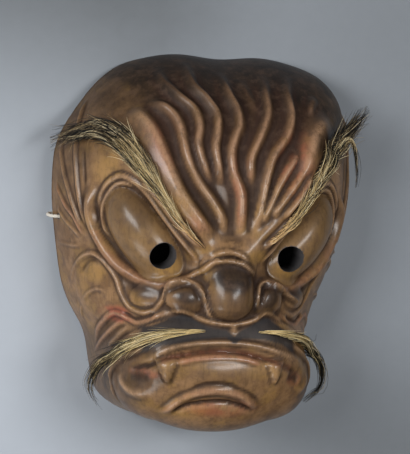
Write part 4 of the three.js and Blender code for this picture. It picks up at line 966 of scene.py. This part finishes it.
def growHairs(tuft):  # tapering hairs in locks: their points, faces, tones and places along the tuft
    spine = tuftSpine(tuft)
    rng = np.random.default_rng(tuft["seed"])
    total = spine["run"][-1]
    steps, sides = hair["steps"], hair["sides"]
    lifts = np.array(tuft["lying"], float)[:, 2]
    tipWay = unit(spine["at"][-1] - spine["at"][-6])
    locks = rng.random((tuft["locks"], 5))
    t = np.linspace(0, 1, steps)

    def along(key, s):
        values = spine[key].reshape(len(spine["run"]), -1)
        found = np.stack([np.interp(s, spine["run"], column) for column in values.T], -1)
        return found if spine[key].ndim > 1 else found[:, 0]

    points, faces, shadedTones, shares = [], [], [], []
    for number in range(tuft["count"]):
        lock = locks[rng.integers(len(locks))]
        start = total * tuft["rootsTo"] * rng.random() ** tuft["crowd"]
        long = min(rng.uniform(*tuft["long"]), hair["beyond"] * total - start)
        s = start + long * t
        over = np.maximum(0, s - total)
        wild = hair["wildReach"] if rng.random() < hair["wild"] else 1.0
        offset = hair["apart"] * (lock[0] - 0.5) + rng.normal(0, hairChance["apart"])
        height = hair["stack"] * lock[3] - 0.4 + rng.normal(0, hairChance["stack"])
        swing = tuft["fan"] * (0.2 + 0.8 * start / total) * wild
        swing = swing * (hair["swing"] * (lock[1] - 0.5) + rng.normal(0, hairChance["swing"]))
        swing = swing + hair["leanOut"] * (0.3 + 0.7 * rng.random())
        wave = 2 * pi * (lock[2] + rng.normal(0, hairChance["wave"]))
        side = offset * along("wide", s) + swing * t ** 1.6 + hair["wave"] * np.sin(wave + 5 * t) * t
        arch = wild * abs(rng.normal(0, tuft["loose"])) * np.sin(pi * np.minimum(1, t * 0.9))
        lift = height * along("thick", s) + arch
        depth = np.interp(start / total, np.linspace(0, 1, len(lifts)), lifts) + hair["rootDepth"]
        rooted = depth * np.maximum(0, 1 - hair["rootSpan"] * t)
        centre = along("at", s) + along("across", s) * side[:, None]
        centre = centre + along("over", s) * (lift - rooted)[:, None] + tipWay * over[:, None]
        way = np.gradient(centre, axis=0)
        u = unit(np.cross(way, hair["sideways"]))
        v = unit(np.cross(way, u))
        radius = tuft["radius"] * rng.uniform(*hairChance["radius"]) * (1 - hair["taper"] * t ** 2)
        for k in range(sides):
            angle = 2 * pi * k / sides
            points.append(centre + (u * cos(angle) + v * sin(angle)) * radius[:, None])
        first = number * steps * sides
        columns = [first + k * steps for k in range(sides)]
        for near, far in zip(columns, columns[1:] + columns[:1]):
            faces += [(near + i, far + i, far + i + 1, near + i + 1) for i in range(steps - 1)]
        faces += [tuple(columns[::-1]), tuple(column + steps - 1 for column in columns)]
        # a hair's tone comes from its lock and itself, plus painted shade: the lower it lies in the tuft, the
        # darker it comes out
        shadedTones.append(0.6 * lock[4] + 0.4 * rng.random() + 0.2 * height)
        shares.append(np.tile(s / total, sides))
    ranks = np.argsort(np.argsort(shadedTones)) / len(shadedTones)
    return np.concatenate(points), faces, np.repeat(ranks, steps * sides), np.concatenate(shares)


def buildTuft(name, bunches, paint, node):
    points, faces, shadedTones, shares = zip(*[growHairs(bunch) for bunch in bunches])
    starts = np.cumsum([0] + [len(p) for p in points]).tolist()
    faces = [tuple(i + start for i in face) for start, group in zip(starts, faces) for face in group]
    piece = addMesh(name, np.concatenate(points), faces, paint)
    addMasks(piece.data, dict(shadedTone=np.concatenate(shadedTones), along=np.concatenate(shares)))
    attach(piece, "root")
    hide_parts(node)
    print(name + ":", sum(bunch["count"] for bunch in bunches), "hairs")


# Rows of [x, y, height over the carving, half width, half thickness], then free ends as
# rows of [x, y, z, half width, half thickness]
tufts = dict(
    browLeft=dict(
        lying=[(-13.5, 3.5, 1.6, 0.7, 0.5), (-21.5, 11, 1.8, 1.1, 0.7), (-29.5, 19.5, 2, 1.4, 0.8),
            (-35.5, 28.5, 2.2, 1.8, 0.9), (-40.5, 36, 2.5, 2.9, 1.1), (-46, 44.5, 3, 4.6, 1.3),
            (-52.5, 53, 3.4, 6, 1.5), (-59.5, 59, 3.4, 6.1, 1.5), (-68, 61.5, 3.4, 5.3, 1.4)],
        free=[(-81, 58.5, 27, 3.6, 1.2), (-88, 55.5, 23, 1.4, 0.7)],
        count=1250, rootsTo=0.84, crowd=0.7, long=(10, 34), fan=6, loose=1.4, locks=64, radius=0.16, seed=11),
    browRight=dict(
        lying=[(18, 6.5, 1.6, 0.9, 0.6), (27, 14.5, 1.9, 1.5, 0.8), (35, 24, 2.1, 1.7, 1),
            (40.5, 33, 2.4, 2.1, 1.1), (46, 42, 2.8, 3, 1.3), (51.5, 50, 3, 4.2, 1.4)],
        free=[(60.8, 58.2, 60, 4.8, 1.4), (65.7, 64.3, 58, 4.8, 1.4), (70.9, 69.3, 55.5, 4, 1.3),
            (76.1, 74.1, 53, 2.8, 1.1), (81.4, 78.2, 50.5, 1.2, 0.7)],
        count=1000, rootsTo=0.8, crowd=0.7, long=(9, 30), fan=6, loose=1.3, locks=54, radius=0.16, seed=12),
    browFall=dict(
        lying=[(50, 49.5, 3, 1.4, 0.8), (56, 54.5, 3.6, 1.6, 0.9)],
        free=[(64.5, 61.2, 60.5, 1.8, 1), (68.6, 65.2, 59.5, 1.6, 1), (72.7, 62.8, 57, 1.3, 0.8),
            (76.4, 55.6, 53, 0.9, 0.6), (79.8, 46.5, 48, 0.5, 0.4), (81.3, 38.2, 45, 0.3, 0.3)],
        count=70, rootsTo=0.35, crowd=1, long=(20, 50), fan=2.6, loose=0.6, locks=14, radius=0.15, seed=15),
    lipLeft=dict(
        lying=[(-12.5, -42.5, 1.5, 0.6, 0.4), (-24, -43.3, 1.8, 1.4, 0.7), (-33.5, -45.6, 2.1, 2.2, 0.9),
            (-40.5, -49, 2.4, 2.7, 1), (-46.5, -54, 2.7, 3, 1.1)],
        free=[(-57.5, -61.5, 57, 2.5, 1.2), (-62.3, -67.5, 51, 2.3, 1.1), (-64.9, -75.5, 46, 2, 1),
            (-64.6, -84, 41, 1.5, 0.9), (-60.5, -91.5, 36.5, 0.9, 0.6)],
        count=430, rootsTo=0.62, crowd=0.9, long=(12, 50), fan=9, loose=1.1, locks=40, radius=0.16, seed=13),
    lipRight=dict(
        lying=[(15.5, -42.5, 1.5, 0.6, 0.4), (25, -43.3, 1.8, 1.3, 0.7), (35, -46.5, 2.2, 1.9, 0.9),
            (43, -50.5, 2.6, 2.2, 1.1)],
        free=[(55.1, -55.2, 61.5, 2.4, 1.2), (61.9, -62.4, 57, 2.1, 1.1), (65.9, -70.3, 52.5, 1.7, 1),
            (66.5, -78.7, 49, 1.3, 0.9), (61, -85.6, 47, 0.8, 0.6)],
        count=300, rootsTo=0.62, crowd=0.9, long=(12, 50), fan=8, loose=1.1, locks=36, radius=0.16, seed=14),
)

# "darkening" is the share of dark hairs at the root and how much it grows to the tip
hairTints = dict(
    brow=dict(root=(0.85, 0.52, 0.24), straw=(0.66, 0.50, 0.24), pale=(0.92, 0.80, 0.52),
              brown=(0.16, 0.105, 0.05), dark=(0.012, 0.010, 0.008), darkening=(0.14, 0.62)),
    lip=dict(root=(0.80, 0.60, 0.28), straw=(0.60, 0.45, 0.20), pale=(0.88, 0.74, 0.44),
             brown=(0.17, 0.12, 0.055), dark=(0.014, 0.012, 0.009), darkening=(0.10, 0.72)),
)


def makeHair(name, tints):
    paint = Paint(name + "Hair", **{"Specular IOR Level": 0.3})
    shadedTone, place = paint.mask("shadedTone"), paint.mask("along")
    base, growth = tints["darkening"]
    # the tone carries painted shade, so hairs lying deep are likelier dark
    darkShare = paint.band(place, 0.1, 0.9) * growth + base
    colour = paint.blend(paint.band(place + shadedTone * 0.3, 0.15, 0.5), tints["root"], tints["straw"])
    colour = paint.blend(paint.band(shadedTone, 0.8, 0.9) * 0.8, colour, tints["pale"])
    colour = paint.blend(paint.band(darkShare + 0.22 - shadedTone, -0.05, 0.05) * 0.85, colour, tints["brown"])
    colour = paint.blend(paint.band(darkShare - shadedTone, -0.03, 0.03), colour, tints["dark"])
    paint.feed(Base_Color=colour, Roughness=0.42 + shadedTone * 0.2)
    return paint


browPaint = makeHair("brow", hairTints["brow"])
lipPaint = makeHair("lip", hairTints["lip"])
buildTuft("hairBrowLeft", [tufts["browLeft"]], browPaint, "eyebrow_left")
buildTuft("hairBrowRight", [tufts["browRight"], tufts["browFall"]], browPaint, "eyebrow_right")
buildTuft("hairLipLeft", [tufts["lipLeft"]], lipPaint, "moustache_left")
buildTuft("hairLipRight", [tufts["lipRight"]], lipPaint, "moustache_right")


# The tie cord

cord = dict(path=[(-71.5, 10, 14.4), (-76, 10, 14.4), (-83.5, 10, 14.6), (-87.2, 10, 13), (-88.4, 10, 8.5),
                  (-87, 10, 3.9), (-82.5, 10, 1.8), (-76.5, 10, 2.4), (-73, 10, 6), (-71.8, 10, 12)],
            radius=1.0, twist=5.0, sides=16, groove=0.28, white=(0.78, 0.74, 0.66), soiled=(0.50, 0.45, 0.37))
knot = dict(at=(-71.5, 10, 15.4), size=0.575, radius=0.85, twist=2.5, sides=10, groove=0.15, steps=90)


def strand(path, look, closed=False):  # a twisted two-ply strand along a path
    sides = look["sides"]
    n = len(path)
    tangent = unit(np.roll(path, -1, 0) - np.roll(path, 1, 0) if closed else np.gradient(path, axis=0))
    run = runAlong(path)
    angle = 2 * pi * np.arange(sides) / sides
    u = np.cross(tangent[0], [0.1, 0.97, 0.2])  # any way that isn't along the strand
    points = []
    for i in range(n):
        u = unit(u - tangent[i] * (u @ tangent[i]))
        v = np.cross(tangent[i], u)
        ply = np.abs(np.cos(angle - 2 * pi * run[i] / look["twist"]))
        r = look["radius"] * (1 - look["groove"] + look["groove"] * ply)[:, None]
        points.append(path[i] + (np.outer(np.cos(angle), u) + np.outer(np.sin(angle), v)) * r)
    faces = []
    for i in range(n if closed else n - 1):
        j = (i + 1) % n
        for k in range(sides):
            m = (k + 1) % sides
            faces.append((i * sides + k, i * sides + m, j * sides + m, j * sides + k))
    if not closed:
        faces += [tuple(range(sides))[::-1], tuple(range((n - 1) * sides, n * sides))]
    return np.concatenate(points), faces


def makeCordPaint():
    paint = Paint("whiteCord", Roughness=0.85)
    fuzz = paint.noise(perMm=2.0, detail=4, rough=0.65)
    paint.feed(Base_Color=paint.blend(fuzz, cord["white"], cord["soiled"]))
    paint.bump(fuzz, 0.15)
    return paint


def buildCord():
    points, faces = strand(catmullRom(cord["path"], 14), cord)
    t = np.linspace(0, 2 * pi, knot["steps"], endpoint=False)
    trefoil = np.stack([np.sin(t) + 2 * np.sin(2 * t), np.cos(t) - 2 * np.cos(2 * t), -np.sin(3 * t)], -1)
    knotPoints, knotFaces = strand(trefoil * knot["size"] + np.array(knot["at"]), knot, True)
    faces = faces + [tuple(i + len(points) for i in face) for face in knotFaces]
    piece = addMesh("tieCord", np.concatenate([points, knotPoints]), faces, makeCordPaint())
    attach(piece, "root")
    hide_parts("tie_cord_left")


buildCord()
print("cord: done")
